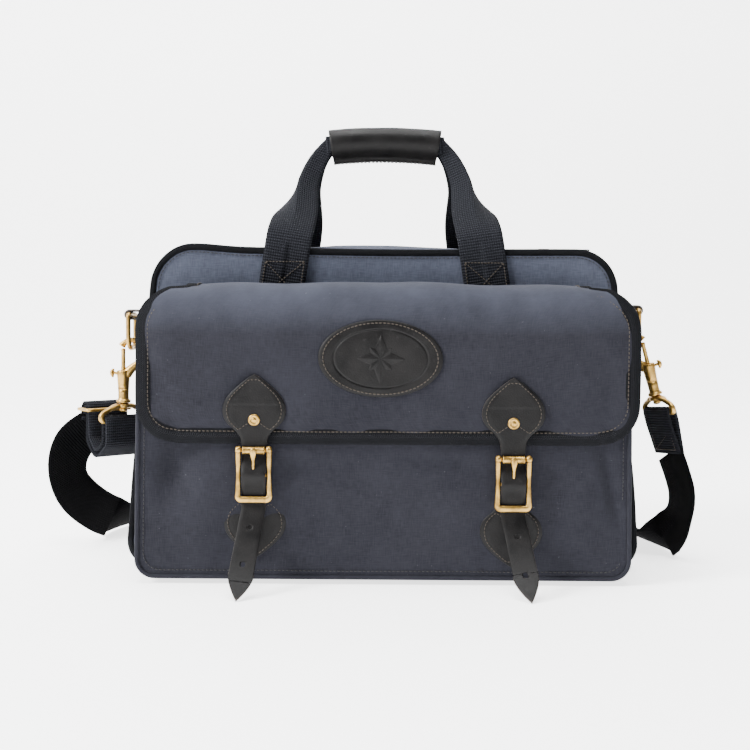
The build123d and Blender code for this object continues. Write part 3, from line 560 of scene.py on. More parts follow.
def band_section(half, thick, steps=6):
    """A webbing section: flat, with rounded selvedges."""
    top = [(-half + 2 * half * k / steps, thick / 2) for k in range(steps + 1)]
    under = [(-x, -z) for x, z in top]
    return [*top, (half + 0.35 * thick, 0.0), *under, (-half - 0.35 * thick, 0.0)]


def lathe(profile, centre, axis, side, turns=28):
    """A turned shape: (radius, height) pairs about an axis."""
    centre, axis = Vector(centre), Vector(axis).normalized()
    side = (Vector(side) - axis * axis.dot(Vector(side))).normalized()
    other = axis.cross(side)
    rows = []
    for radius, height in profile:
        spoke = [math.tau * k / turns for k in range(turns)]
        rows.append(
            [centre + axis * height + (side * math.cos(a) + other * math.sin(a)) * radius for a in spoke]
        )
    return grid(rows, closed_u=True)


def merge(*parts):
    """Several (vertices, faces, coordinates) as one."""
    verts, faces, uvs = [], [], []
    for part_verts, part_faces, part_uvs in parts:
        start = len(verts)
        verts += part_verts
        uvs += part_uvs
        faces += [tuple(start + i for i in face) for face in part_faces]
    return verts, faces, uvs


STITCH = ((-0.5, 0.45, -0.5), (-0.3, 1.0, 0.35), (0.3, 1.0, 0.35), (0.5, 0.45, -0.5))
STITCH_LIFT = 0.15


def stitch_row(path, normal, pitch=3.2, length=2.3, radius=0.42):
    """Single thread stitches along a path, dipping into the cloth at both ends."""
    total = sum((b - a).length for a, b in zip(path, path[1:]))
    count = max(2, int(total / pitch))
    marks = resample(path, 3 * count + 1)
    parts = []
    for k in range(count):
        a, b = marks[3 * k], marks[3 * k + 3]
        middle = marks[3 * k + 1].lerp(marks[3 * k + 2], 0.5)
        ahead = (b - a).normalized()
        out = (normal(middle) if callable(normal) else Vector(normal)).normalized()
        side = ahead.cross(out).normalized()
        rows = []
        for share, size, rise in STITCH:
            centre = middle + ahead * share * length + out * (STITCH_LIFT + rise * radius)
            turns = [math.tau * n / 6 for n in range(6)]
            rows.append([centre + (side * math.cos(t) + out * math.sin(t)) * radius * size for t in turns])
        parts.append(grid(rows, closed_u=True))
    return merge(*parts)


def sew(name, rows, thread, body):
    """Rows of stitches as one piece."""
    return piece(name, merge(*rows), thread, body, mapped=False)


def ripple(x, y, z, size, seed):
    """Smooth noise from -1 to 1 with features of one size, in millimetres."""
    return noise.noise(Vector((x / size + seed, y / size + 2.7 * seed, z / size - seed)))


def dent(x, z, at, size, depth, turn=0.0):
    """A soft oval hollow, or with a negative depth a swelling."""
    a = math.radians(turn)
    dx, dz = x - at[0], z - at[1]
    u = (dx * math.cos(a) + dz * math.sin(a)) / size[0]
    v = (-dx * math.sin(a) + dz * math.cos(a)) / size[1]
    return depth * math.exp(-(u * u + v * v))


def ease(t):
    """A smooth step from 0 to 1."""
    t = min(1.0, max(0.0, t))
    return t * t * (3 - 2 * t)


def hump(t):
    """Rises from 0 to 1 and falls back to 0 as t goes from 0 to 1."""
    return math.sin(math.pi * min(1.0, max(0.0, t)))


def bell(x, width):
    """A bell curve: 1 at x = 0, fading over its width."""
    return math.exp(-((x / width) ** 2))


# ---------------------------------------------------------------- camera and strap
LENS = 52.8
EYE_PLACE = (-0.0073, -0.991, 0.220)
LOOK_DOWN = 3.4
ROLL = 0.41


def make_camera():
    """The bag seen head-on from a little below its top, a metre away."""
    data = bpy.data.cameras.new("camera")
    data.lens = LENS
    camera = bpy.data.objects.new("camera", data)
    bpy.context.scene.collection.objects.link(camera)
    camera.location = EYE_PLACE
    look = Matrix.Rotation(math.radians(90 - LOOK_DOWN), 4, "X")
    roll = Matrix.Rotation(math.radians(ROLL), 4, "Z")
    camera.rotation_euler = (look @ roll).to_euler()
    bpy.context.scene.camera = camera


make_camera()


def loop_frame(origin, toward, lean):
    """Origin, x towards the bag, y up the clip and z across it."""
    turn, tilt = math.radians(toward), math.radians(lean)
    level = Vector((math.cos(turn), math.sin(turn), 0))
    side = 1 if math.cos(turn) > 0 else -1
    up = Vector((side * math.sin(tilt), 0, math.cos(tilt)))
    level = (level - up * level.dot(up)).normalized()
    return Vector(origin), level, up, level.cross(up)


def spot(place, x, y, z=0.0):
    """A point given in a frame."""
    origin, level, up, out = place
    return origin + level * x + up * y + out * z


def hook_frame(side):
    """Where a snap hook hangs in its D-ring."""
    sign = -1 if side == "left" else 1
    hang = (sign * RING_X, 0, TAB_Z[side] - RING_DROP - RING_REST)
    return loop_frame(hang, HOOK_TURN[side], CLIP_LEAN[side])


def eye_frame(side):
    """Where a swivel eye sits below its hook."""
    return loop_frame(spot(hook_frame(side), HOOK_AXIS, EYE_LOW), EYE_TURN[side], CLIP_LEAN[side])


def web_frame(side):
    """A swivel eye's frame turned so that its last direction runs along the strap bar."""
    origin, level, up, out = eye_frame(side)
    return origin, out, up, -level


GROUND_ROOM = 2.2


def ribbon(points, wide, half=WEB_HALF, thick=WEBBING):
    """A band along points; wide gives the direction of its width at each share of the run, and a
    band near the ground leans over until it clears it."""
    section = band_section(half, thick)
    rows = []
    for i, p in enumerate(points):
        ahead = (points[min(i + 1, len(points) - 1)] - points[max(i - 1, 0)]).normalized()
        across = wide(i / (len(points) - 1))
        across = (across - ahead * across.dot(ahead)).normalized()
        room = (p.z - GROUND_ROOM) / half
        if abs(across.z) > room:
            level = ahead.cross(UP).normalized()
            level = level if level.dot(across) > 0 else -level
            rise = math.copysign(max(0.0, room), across.z)
            across = level * math.sqrt(1 - rise * rise) + UP * rise
            across = (across - ahead * across.dot(ahead)).normalized()
        out = ahead.cross(across)
        rows.append([p + across * a + out * b for a, b in section])
    return tube(rows)


def shoulder_strap():
    """The free webbing, from the slider round behind the bag to its sewn end."""
    left, right = web_frame("left"), web_frame("right")
    route = [
        spot(left, *STRAP_START),
        (-281, 32, 104),
        (-292, 27, 86),
        (-293, 23, 66),
        (-285, 25, 47),
        (-269, 38, 29),
        (-256, 64, 16),
        (-247, 97, 11),
        (-232, 132, 14),
        (-202, 158, 18),
        (-152, 166, 19),
        (-109, 140, 19),
        (-68, 111, 19),
        (-18, 103, 19),
        (28, 124, 19),
        (70, 153, 19),
        (119, 172, 19),
        (170, 167, 19),
        (207, 148, 18),
        (232, 120, 16),
        (243, 84, 12),
        (245, 48, 9),
        (246, 12, 9),
        (252, -9, 15),
        (261, -21, 31),
        (267, -22, 51),
        (266, -13, 71),
        spot(right, 0, END_LOW),
    ]
    curve = bpy.data.curves.new("strap_route", "CURVE")
    curve.dimensions = "3D"
    curve.resolution_u = 16
    spline = curve.splines.new("NURBS")
    spline.points.add(len(route) - 1)
    for point, place in zip(spline.points, route):
        point.co = (*(c * MM for c in place), 1.0)
    spline.order_u = 3
    spline.use_endpoint_u = True
    guide = bpy.data.objects.new("strap_route", curve)
    line = bpy.data.meshes.new_from_object(guide)
    path = [v.co / MM for v in line.vertices]
    bpy.data.objects.remove(guide)
    bpy.data.curves.remove(curve)
    bpy.data.meshes.remove(line)
    toward = left[3] if left[3].x > 0 else -left[3]
    edge_on = right[3] if right[3].y > 0 else -right[3]
    keys = [
        (0.0, toward),
        (0.04, Vector((0.72, 0.55, -0.3))),
        (0.1, Vector((0.6, 0.7, 0.35))),
        (0.16, Vector((0.45, 0.35, 0.8))),
        (0.24, Vector((0.3, 0.1, 0.93))),
        (0.32, Vector((0.12, 0.1, 1.0))),
        (0.5, Vector((0.0, 0.14, 1.0))),
        (0.66, Vector((-0.1, 0.2, 1.0))),
        (0.74, Vector((-0.3, 0.2, 0.95))),
        (0.82, Vector((-0.4, -0.1, 0.9))),
        (0.88, Vector((-0.3, 0.5, 0.8))),
        (0.93, Vector((-0.25, 0.95, 0.2))),
        (1.0, edge_on),
    ]

    def wide(share):
        for (a, before), (b, after) in zip(keys, keys[1:]):
            if share <= b:
                return before.lerp(after, ease((share - a) / (b - a)))
        return keys[-1][1]

    web = ribbon(path, wide)
    strap = piece("shoulder_strap_web", web, STRAP_WEB, "root", ["shoulder_strap"])
    length = sum((b - a).length for a, b in zip(path, path[1:])) * MM


shoulder_strap()


FLOOR_GAP = 0.0006
BAG_MIDDLE = Vector((0, 0, 0.17))
LIGHTS = (
    # name, place, size, power
    ("key", (-2.0, -1.0, 1.6), 0.9, 165.0),
    ("fill", (1.6, -1.5, 1.1), 1.4, 2.0),
    ("top", (-0.1, -0.25, 2.3), 1.3, 85.0),
)


def make_studio():
    """A pale floor that sweeps up into a backdrop, and plain soft light."""
    bend = 0.9
    profile = [(-4.0, 0.0), (bend, 0.0)]
    for degrees in range(6, 91, 6):
        a = math.radians(degrees)
        profile.append((bend + bend * math.sin(a), bend - bend * math.cos(a)))
    profile.append((2 * bend, 5.0))
    verts = [(x, y, z - FLOOR_GAP) for y, z in profile for x in (-5.0, 5.0)]
    faces = [(2 * k, 2 * k + 1, 2 * k + 3, 2 * k + 2) for k in range(len(profile) - 1)]
    data = bpy.data.meshes.new("floor")
    data.from_pydata(verts, [], faces)
    data.polygons.foreach_set("use_smooth", [True] * len(faces))
    floor = bpy.data.objects.new("floor", data)
    bpy.context.scene.collection.objects.link(floor)
    paint = Shader("pale_floor", roughness=0.9, specular=0.1)
    paint.bsdf.inputs["Base Color"].default_value = (0.95, 0.95, 0.95, 1.0)
    paint.bsdf.inputs["Emission Color"].default_value = (1.0, 1.0, 1.0, 1.0)
    paint.bsdf.inputs["Emission Strength"].default_value = 2.2
    data.materials.append(paint.material)
    world = bpy.data.worlds.new("studio")
    bpy.context.scene.world = world
    world.use_nodes = True
    world.node_tree.nodes["Background"].inputs[0].default_value = (0.98, 0.99, 1.0, 1.0)
    world.node_tree.nodes["Background"].inputs[1].default_value = 0.3
    for name, place, size, power in LIGHTS:
        light = bpy.data.lights.new(name, "AREA")
        light.size = size
        light.energy = power
        lamp = bpy.data.objects.new(name, light)
        bpy.context.scene.collection.objects.link(lamp)
        lamp.location = place
        aim = BAG_MIDDLE - Vector(place)
        lamp.rotation_euler = aim.to_track_quat("-Z", "Y").to_euler()


make_studio()


# ---------------------------------------------------------------- main compartment
def flat(points):
    """Outline points (x, z) as vectors in the XZ plane."""
    return [Vector((x, 0, z)) for x, z in points]


def bag_outline(inset, count):
    """The rounded trapezoid of the main panels, drawn in by an inset."""
    half, top_half = BAG_HALF - inset, BAG_TOP_HALF - inset
    top = BAG_TOP - inset
    corners = flat([(-half, inset), (half, inset), (top_half, top), (-top_half, top)])
    radii = [BAG_LOW_RADIUS - inset] * 2 + [BAG_TOP_RADIUS - inset] * 2
    return [settle_down(p) for p in resample(rounded(corners, radii), count, closed=True)]


def settle_down(p):
    """The slack of the soft body: its top line dips between stiffer corners, its sides waver."""
    share = ease((p.z - 150) / 110)
    # a stiff corner at the upper left, a dip between the handles
    lift = 2.6 * bell(p.x + 158, 26) - 1.4 * bell(p.x - 10, 90)
    waver = 1.6 * ripple(0, 0, p.z, 75, 3.1 if p.x < 0 else 8.7)
    side = waver * ease((abs(p.x) - 120) / 60) * ease(p.z / 60)
    return Vector((p.x + side, p.y, p.z + share * lift))


def front_swell(x, z):
    """How far the main front panel stands out of its seam plane."""
    swell = 2.2 * (1 - (x / 215) ** 2) * hump(z / BAG_TOP)
    return swell + 1.6 * ripple(x, 0, z, 42, 5)


def rear_swell(x, z):
    """How far the main rear panel stands out, with its slack folds."""
    swell = 5.0 * (1 - (x / 215) ** 2) * hump(z / BAG_TOP) ** 0.8
    swell += 1.8 * ripple(x, 0, z, 70, 11) + 0.8 * ripple(x, 0, z, 26, 17)
    # two slanting folds in the lower corners, a shallow one below the handles
    swell -= dent(x, z, (-120, 60), (9, 60), 3.0, 24) + dent(x, z, (135, 75), (8, 55), 2.6, -30)
    return swell - dent(x, z, (20, 210), (70, 7), 1.6, 6)


def disc_sheet(outline, centre, rings, depth):
    """A sheet inside an outline, built in rings; depth(x, z, share) gives each point's y."""
    rows = []
    for j in range(rings + 1):
        share = 0.02 + 0.98 * (j / rings) ** 0.8
        row = []
        for p in outline:
            x, z = centre[0] + share * (p.x - centre[0]), centre[1] + share * (p.z - centre[1])
            row.append((x, depth(x, z, share), z))
        rows.append(row)
    verts, faces, _ = grid(rows, closed_u=True)
    faces.append(tuple(range(len(outline)))[::-1])
    return verts, faces, [(v.x, v.z) for v in verts]


def body_panels():
    """The front and rear canvas panels."""
    outline = bag_outline(2.6, 260)
    for name, sign, swell in (("front", -1, front_swell), ("rear", 1, rear_swell)):
        def depth(x, z, share, sign=sign, swell=swell):
            return sign * (SEAM_PLANE + 0.6 + swell(x, z) * (1 - share**6))

        sheet = disc_sheet(outline, PANEL_MIDDLE, 34, depth)
        # the front panel takes the lit canvas copy, painted lighter; the rear takes the plain canvas
        canvas = CANVAS_LIT if sign < 0 else CANVAS
        made = piece(f"{name}_panel_canvas", sheet, canvas, "root", [f"main_{name}_panel"])
        thicken(made, CANVAS_THICK)


def body_piping():
    """The covered cords in the two seams, with the stitching that closes each cover."""
    outline = bag_outline(CORD_INSET + 0.7, 360)
    for name, sign in FACES:
        path = [Vector((p.x, sign * SEAM_PLANE, p.z)) for p in outline]
        cover = sweep(path, ring_section(CORD), up=(0, 1, 0), closed=True)
        piece(f"{name}_piping_tape", cover, BINDING_TAPE, "root", [f"{name}_piping"])
        inner = [Vector((p.x, sign * (SEAM_PLANE + 1.9), p.z)) for p in bag_outline(7.4, 500)]
        row = stitch_row(inner, (0, sign, 0), 3.4, 2.4, 0.34)
        sew(f"{name}_piping_stitches", [row], GREY_THREAD, "root")


def gusset_band(name, corners, radii, sag, replaced, y_low, y_high, count):
    """A band of canvas between two seams, along part of an outline."""
    path = resample(rounded(flat(corners), radii, closed=False), count)
    rows = []
    deep = 22
    for k in range(deep + 1):
        v = 2 * k / deep - 1
        y = y_low + (y_high - y_low) * k / deep
        row = []
        for i, p in enumerate(path):
            ahead = (path[min(i + 1, count - 1)] - path[max(i - 1, 0)]).normalized()
            out = Vector((-ahead.z, 0, ahead.x))
            hollow = sag(p, y) * (1 - v * v)
            q = settle_down(p) if replaced[0].startswith(("side", "base")) else p
            row.append(Vector((q.x, y, q.z)) + out * hollow)
        rows.append(row)
    return thicken(piece(name, grid(rows), CANVAS, "root", replaced), CANVAS_THICK)


def body_gusset():
    """The sides and base of the main compartment: slack sides, a flat base."""

    def side_sag(p, y):
        hollow = 3.5 * hump(p.z / BAG_TOP) + 2.2 * ripple(0, y, p.z, 34, 21)
        return hollow * ease(p.z / 40)

    inset = CANVAS_THICK
    low_x, top_x = BAG_HALF - inset, BAG_TOP_HALF - inset
    for side, sign in SIDES:
        top = BAG_TOP - inset
        corners = [(sign * 160, top), (sign * top_x, top), (sign * low_x, inset), (sign * 190, inset)]
        radii = [0, BAG_TOP_RADIUS, BAG_LOW_RADIUS, 0]
        name, replaced = f"{side}_gusset_canvas", [f"side_gusset_{side}"]
        gusset_band(
            name, corners[::-sign], radii[::-sign], side_sag, replaced, -SEAM_PLANE, SEAM_PLANE, 150
        )
    ends = [(-190, inset), (190, inset)]
    gusset_band("base_canvas", ends, 0, lambda p, y: 0.0, ["base_panel"], -SEAM_PLANE, SEAM_PLANE, 60)


TOP_STRIP_HALF = 161.0


def body_top():
    """The two sloping strips beside the zip, their topstitching and the zip itself."""
    for name, sign in FACES:
        rows = []
        for k in range(15):
            share = k / 14
            y = sign * (SEAM_PLANE + (ZIP_HALF - 1.5 - SEAM_PLANE) * share)
            row = []
            for i in range(101):
                x = TOP_STRIP_HALF * (2 * i / 100 - 1)
                base = settle_down(Vector((x, 0, BAG_TOP - 1.6))).z
                crown = (ZIP_PLANE + 0.9 - base) * ease(share * 1.2)
                crown += 1.2 * ripple(x, y, 0, 38, 31) * math.sin(math.pi * share)
                bulge = hump(1.6 * share)
                crown += 4.6 * math.exp(-((x / 66) ** 4)) * bulge * (share < 0.625)
                row.append((x, y, base + crown))
            rows.append(row)
        replaced = [f"top_strip_{name}"]
        # the strips take the lit canvas copy, painted lighter
        made = piece(f"{name}_top_canvas", grid(rows), CANVAS_LIT, "root", replaced)
        thicken(made, HEM_THICK)
        tape = []
        for y in (1.2, 6.0, ZIP_HALF):
            height = ZIP_PLANE + 0.1 * y / ZIP_HALF
            tape.append([(x, sign * y, height) for x in (-159.0, -80.0, 0.0, 80.0, 159.0)])
        made = piece(f"{name}_zip_tape", grid(tape), ZIP_TAPE, "root", [f"zip_tape_{name}"])
        thicken(made, TAPE_THICK)
        for inset in (2.4, 7.0):
            y = sign * (ZIP_HALF - 1.5 + inset)
            line = [Vector((x, y, ZIP_PLANE + 1.7)) for x in (-157.0, 0.0, 157.0)]
            row = stitch_row(resample(line, 200), UP, 3.2, 2.2, 0.32)
            sew(f"{name}_top_stitches_{int(inset)}", [row], GREY_THREAD, "root")
        zip_teeth(name, sign)


def zip_teeth(name, sign):
    """One row of cast teeth, each gripping the tape's cord and reaching over the middle."""
    pitch, reach = 3.0, 147.0
    parts = []
    x = -reach + (0.0 if sign < 0 else pitch / 2)
    above = [(2.3, 1.25), (1.4, 1.25), (0.6, 0.95), (-0.45, 0.6)]
    profile = above + [(a, -b) for a, b in above[::-1]]
    while x < reach:
        rows = []
        for side, size in ((-0.62, 0.75), (-0.4, 1.0), (0.4, 1.0), (0.62, 0.75)):
            row = []
            for a, b in profile:
                row.append((x + side, sign * (1.0 + (a - 1.0) * size), ZIP_PLANE + b * size))
            rows.append(row)
        parts.append(tube(rows))
        x += pitch
    replaced = [f"zip_teeth_{name}"]
    piece(f"{name}_zip_teeth", merge(*parts), BRASS, "root", replaced, mapped=False)


body_panels()
body_piping()
body_gusset()
body_top()


# ---------------------------------------------------------------- front pocket
def pocket_y(x, z):
    """The face of the front pocket: full below, pressed flat under the flap, creased at its sides."""
    share = (z - POCKET_LOW) / (POCKET_TOP - POCKET_LOW)
    full = 3.2 * (1 - (x / 205) ** 4) * hump(1.35 * share) if share < 0.74 else 0.0
    full += 2.0 * ripple(x, 0, z, 48, 41) * (1 - share) + 0.9 * ripple(x, 0, z, 21, 43) * (1 - share)
    # the deep hollow outside the left strap and the crease along the right edge
    full -= dent(x, z, (-168, 92), (14, 32), 12.5, -14) + dent(x, z, (184, 74), (5, 52), 8.0, 14)
    # flat hollows under the flap's lower edge
    full -= dent(x, z, (-60, 96), (26, 9), 2.4, 8) + dent(x, z, (40, 100), (40, 8), 2.2, -5)
    # the swellings beside the two side creases, and the crease above the base
    full += dent(x, z, (-142, 60), (14, 34), 2.6, -18) + dent(x, z, (160, 60), (13, 44), 2.6, 10)
    full -= dent(x, z, (0, 24), (120, 6), 1.0, 0)
    return -(POCKET_SHEET + full)


def pocket_outline(inset, closed, count):
    """The pocket's outline, closed for its face or open at the top for its edge."""
    half, top_half, foot = POCKET_HALF - inset, POCKET_TOP_HALF - inset, POCKET_LOW + inset
    corners = flat([(-top_half, POCKET_TOP), (-half, foot), (half, foot), (top_half, POCKET_TOP)])
    radii = [0, POCKET_RADIUS, POCKET_RADIUS, 0]
    return resample(rounded(corners, radii, closed), count, closed)


def pocket():
    """The pocket's face, gussets, raised edge fold, topstitching and hem."""

    def depth(x, z, share):
        return -(POCKET_FACE - 1.0) + (pocket_y(x, z) + POCKET_FACE - 1.0) * (1 - share**9)

    sheet = disc_sheet(pocket_outline(0.6, True, 300), POCKET_MIDDLE, 46, depth)
    face = piece("pocket_face_canvas", sheet, CANVAS, "root", ["pocket_front_panel"])
    thicken(face, CANVAS_THICK)

    def sag(p, y):
        return 1.4 * ripple(0, y, p.z, 30, 51) - 1.2

    front, back, foot = -POCKET_FACE + 0.8, -BAG_FACE + 0.6, POCKET_LOW + 0.6
    half, top_half = 198.6, 195.6
    for side, sign in SIDES:
        corners = [(sign * top_half, POCKET_TOP - 2), (sign * half, foot), (sign * 180, foot)]
        name, replaced = f"pocket_{side}_canvas", [f"pocket_gusset_{side}"]
        gusset_band(name, corners[::-sign], POCKET_RADIUS, sag, replaced, front, back, 90)
    ends = [(-180, foot), (180, foot)]
    gusset_band("pocket_base_canvas", ends, 0, lambda p, y: -1.0, ["pocket_base"], front, back, 60)

    edge = [Vector((p.x, -(POCKET_FACE + 0.2), p.z)) for p in pocket_outline(1.2, False, 260)]
    fold = sweep(edge, ring_section(1.9, 10, 0.8), up=(0, 1, 0))
    piece("pocket_edge_fold", fold, CANVAS, "root")
    line = [Vector((p.x, pocket_y(p.x, p.z) - 0.9, p.z)) for p in pocket_outline(6.5, False, 600)]
    row = stitch_row(line, FRONT, 3.4, 2.4, 0.36)
    sew("pocket_edge_stitches", [row], GREY_THREAD, "root")

    half = POCKET_TOP_HALF
    hem = [Vector((x, -POCKET_SHEET, POCKET_TOP)) for x in (-half, -half / 2, 0.0, half / 2, half)]
    tape = sweep(resample(hem, 60), ring_section(2.0, 12, 1.3))
    piece("pocket_hem", tape, BINDING_TAPE, "root", ["pocket_hem_tape"])


pocket()


# ---------------------------------------------------------------- flap
FLAP_LINE = [
    # y and z of the sheet's middle, from its seam on the bag over the crest to its lower edge
    (-68.4, 230.0), (-70.6, 235.6), (-78, 238.6), (-92, 239.8), (-106, 239.2), (-115.5, 235.6),
    (-120.6, 227), (-122, 212), (-FLAP_SHEET, 180), (-FLAP_SHEET, 145), (-122.2, FLAP_LOW - 0.8),
]
FLAP_PROFILE = curve_points([(0, y, z) for y, z in FLAP_LINE], 600)


def flap_swell(x, z):
    """How far the flap's front stands out: fuller between the straps, falling back at its sides."""
    straps = bell(abs(x) - STRAP_X, 26) * ease((185 - z) / 26)
    swell = 3.0 * (1 - ((x - FLAP_X) / 205) ** 2) * hump((z - 95) / 150)
    swell += 2.3 * ripple(x, 0, z, 60, 61) + 0.9 * ripple(x, 0, z, 24, 67)
    # creases inside the two side edges, then shallow ones below the crest
    swell -= dent(x, z, (-176, 150), (10, 34), 2.2, 14) + dent(x, z, (178, 150), (10, 34), 2.0, -16)
    swell -= dent(x, z, (-70, 205), (60, 7), 1.0, 4) + dent(x, z, (60, 222), (80, 6), 0.9, -2)
    return swell * (1 - straps) - 2.6 * ease((abs(x - FLAP_X) - 175) / 26)


def flap_line(share):
    """The middle of the sheet at a share of its length, from its seam (0) to its lower edge (1)."""
    return FLAP_PROFILE[round(share * (len(FLAP_PROFILE) - 1))]


def flap_point(x, share):
    """A point of the flap's sheet, with its swell in front and the droop of its crest."""
    p = flap_line(share)
    front = ease((-p.y - 100) / 20)
    droop = 1.8 * ripple(x, p.y, 0, 55, 71)
    droop = droop - 2.2 * ease((abs(x) - 120) / 60) + 1.2 * bell(x, 80)
    drop = droop * (1 - ease((239 - p.z) / 26)) * ease((-p.y - 70) / 12)
    return Vector((x, p.y - flap_swell(x, p.z) * front, p.z + drop))


def flap_half(share):
    """Half the sheet's width at a share of its length: rounded shoulders and rounded low corners."""
    p = flap_line(share)
    shoulder = FLAP_CREST - FLAP_TOP_RADIUS
    low_centre = FLAP_LOW + FLAP_LOW_RADIUS
    if -p.y < 112:
        return FLAP_SEAM_HALF
    if p.z > shoulder:
        rise = min(1.0, (p.z - shoulder) / FLAP_TOP_RADIUS)
        half = FLAP_HALF - FLAP_TOP_RADIUS + FLAP_TOP_RADIUS * math.sqrt(1 - rise * rise)
        return max(FLAP_SEAM_HALF, half)
    if p.z < low_centre:
        fall = min(1.0, (low_centre - p.z) / FLAP_LOW_RADIUS)
        return FLAP_HALF - FLAP_LOW_RADIUS + FLAP_LOW_RADIUS * math.sqrt(1 - fall * fall)
    return FLAP_HALF


def flap_shares():
    """Rows of the flap's sheet, closer together towards its lower edge."""
    rows = [0.62 * k / 60 for k in range(60)]
    rows += [0.62 + 0.38 * math.sin(math.pi / 2 * k / 40) for k in range(41)]
    return rows


def flap():
    """The flap's canvas, its herringbone binding and the seam that joins it to the bag."""
    rows = []
    for share in flap_shares():
        half = flap_half(share)
        rows.append([flap_point(FLAP_X + half * (2 * i / 160 - 1), share) for i in range(161)])
    # the flap's canvas carries a painted highlight along its crest
    sheet = piece("flap_canvas", grid(rows), CANVAS_FLAP, None, ["flap_panel", "flap_heading"])
    thicken(sheet, FLAP_THICK)
    settle(sheet)
    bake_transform(sheet)

    edge = [row[0] for row in rows] + rows[-1][1:-1] + [row[-1] for row in rows[::-1]]
    edge = resample(edge, 420)

    def face_way(p):
        """The outward normal of the flap near a point: up on the crest, forward on its front."""
        turn = math.pi / 2 * ease((-p.y - 98) / 26)
        return Vector((0, -math.sin(turn), math.cos(turn)))

    outer = [(-BINDING, 1.7), (-BINDING * 0.5, 2.1), (0.2, 2.1), (1.4, 1.3)]
    section = [*outer, (1.7, 0.0), *[(a, -b) for a, b in outer[::-1]]]
    tape = sweep(edge, section, up=lambda i: face_way(edge[i]))
    bound = piece("flap_binding_tape", tape, BINDING_TAPE, None, ["flap_binding"])
    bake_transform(bound)

    line = []
    for p, _, side, rise in frames_along(edge, lambda i: face_way(edge[i])):
        line.append(p - side * (BINDING - 1.9) + rise * 2.0)
    row = stitch_row(line, face_way, 3.3, 2.4)
    sewn = sew("flap_binding_stitches", [row], TAN_THREAD, None)
    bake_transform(sewn)


flap()


def emblem():
    """The oval leather patch: a domed oval with a sewn border and a plain compass star."""
    half_x, half_z = 49.0, 30.4
    centre = (low("emblem_patch") + high("emblem_patch")) / 2
    tilt = math.radians(-1.2)

    def spot_on(a, share, lift):
        x = half_x * share * math.cos(a)
        z = half_z * share * math.sin(a)
        turned_x = x * math.cos(tilt) - z * math.sin(tilt)
        turned_z = x * math.sin(tilt) + z * math.cos(tilt)
        x, z = centre.x + turned_x, centre.z + turned_z
        return Vector((x, -(flap_y(x, z) + lift), z))

    def relief(a, share):
        """Height of the pressed design: a sunk ring, then an eight-pointed star on a pebbled field."""
        groove = -0.5 * bell(share - 0.76, 0.018)
        x, z = share * half_x / half_z * math.cos(a), share * math.sin(a)
        dist = math.hypot(x, z)
        turn = math.atan2(z, x)
        star = 0.0
        for spokes, reach, offset in ((4, 0.62, 0.0), (4, 0.4, math.pi / 4)):
            away = (turn - offset + math.pi / spokes) % (math.tau / spokes) - math.pi / spokes
            width = 0.30 * (1 - dist / reach)
            inner = max(dist, 0.05)
            if dist < reach and abs(away) < width / inner:
                star = max(star, 0.55 * (1 - abs(away) * inner / max(width, 1e-3)) + 0.2)
        return groove + star

    rows = []
    count, rings, pressing, border = 320, 110, 1.25, 0.925
    turns = [math.tau * k / count for k in range(count)]
    for j in range(rings):
        share = 0.004 + 0.996 * j / (rings - 1)
        edge = 1.0 - math.exp(-(1 - share) * 40)
        rows.append([spot_on(a, share, 1.2 + 0.9 * edge + relief(a, share) * pressing) for a in turns])
    rows.append([spot_on(a, 1.004, 0.9) for a in turns])
    rows.append([spot_on(a, 1.0, -0.4) for a in turns])
    verts, faces, uvs = grid(rows, closed_u=True)
    faces.append(tuple(range(count))[::-1])
    piece("emblem_leather", (verts, faces, uvs), LEATHER, "flap", ["emblem_patch"])
    row = stitch_row([spot_on(a, border, 2.05) for a in (*turns, 0.0)], FRONT, 3.2, 2.4)
    sew("emblem_stitches", [row], TAN_THREAD, "flap")


def flap_y(x, z):
    """How far forward the flap's outer face lies at a place on its front."""
    return FLAP_SHEET + flap_swell(x, z) + FLAP_THICK / 2


emblem()


# ---------------------------------------------------------------- leather straps and buckles
def edge_section(half, thick):
    """A leather strap's section with bevelled edges: an edge, a face, the other edge, the other face."""
    t, bevel = thick / 2, 0.6
    half = max(half, 0.4)
    flat_half = max(half - bevel, 0.2)
    steps = [flat_half * (2 * k / 6 - 1) for k in range(7)]
    edge, face = [(half, -t + bevel), (half, t - bevel)], [(-x, t) for x in steps]
    other_edge, other_face = [(-half, t - bevel), (-half, -t + bevel)], [(x, -t) for x in steps]
    return edge + face + other_edge + other_face


CUT_SIDES = (0, 9)


def leather_band(name, stations, thick, body, replaces=()):
    """A leather piece from (centre, half-width, across, outward) stations, with burnished cut edges."""
    rows = []
    for centre, half, across, out in stations:
        rows.append([centre + across * a + out * b for a, b in edge_section(half, thick)])
    ring, sides = len(rows[0]), (len(rows) - 1) * len(rows[0])
    made = piece(name, tube(rows), [LEATHER, LEATHER_EDGE], body, replaces)
    for index, face in enumerate(made.data.polygons):
        face.material_index = int(index % ring in CUT_SIDES or index >= sides)
    return made


SPADE_CORNERS = [
    # half the spade's width, and the height above its neck
    (10.2, 0), (11.0, 3.0), (13.3, 6.4), (16.6, 9.9), (20.2, 13), (23.6, 17.8),
    (25, 24.5), (23.3, 31.8), (19, 38), (12, 44.6), (5.6, 49.8), (0.3, 53),
]
SPADE = [(p.x, p.y) for p in curve_points([(a, b, 0) for a, b in SPADE_CORNERS], 70)]


def spade_half(rise):
    """Half the spade's width at a height above its neck."""
    for (w0, h0), (w1, h1) in zip(SPADE, SPADE[1:]):
        if rise <= h1:
            return w0 + (w1 - w0) * (rise - h0) / (h1 - h0)
    return SPADE[-1][0]


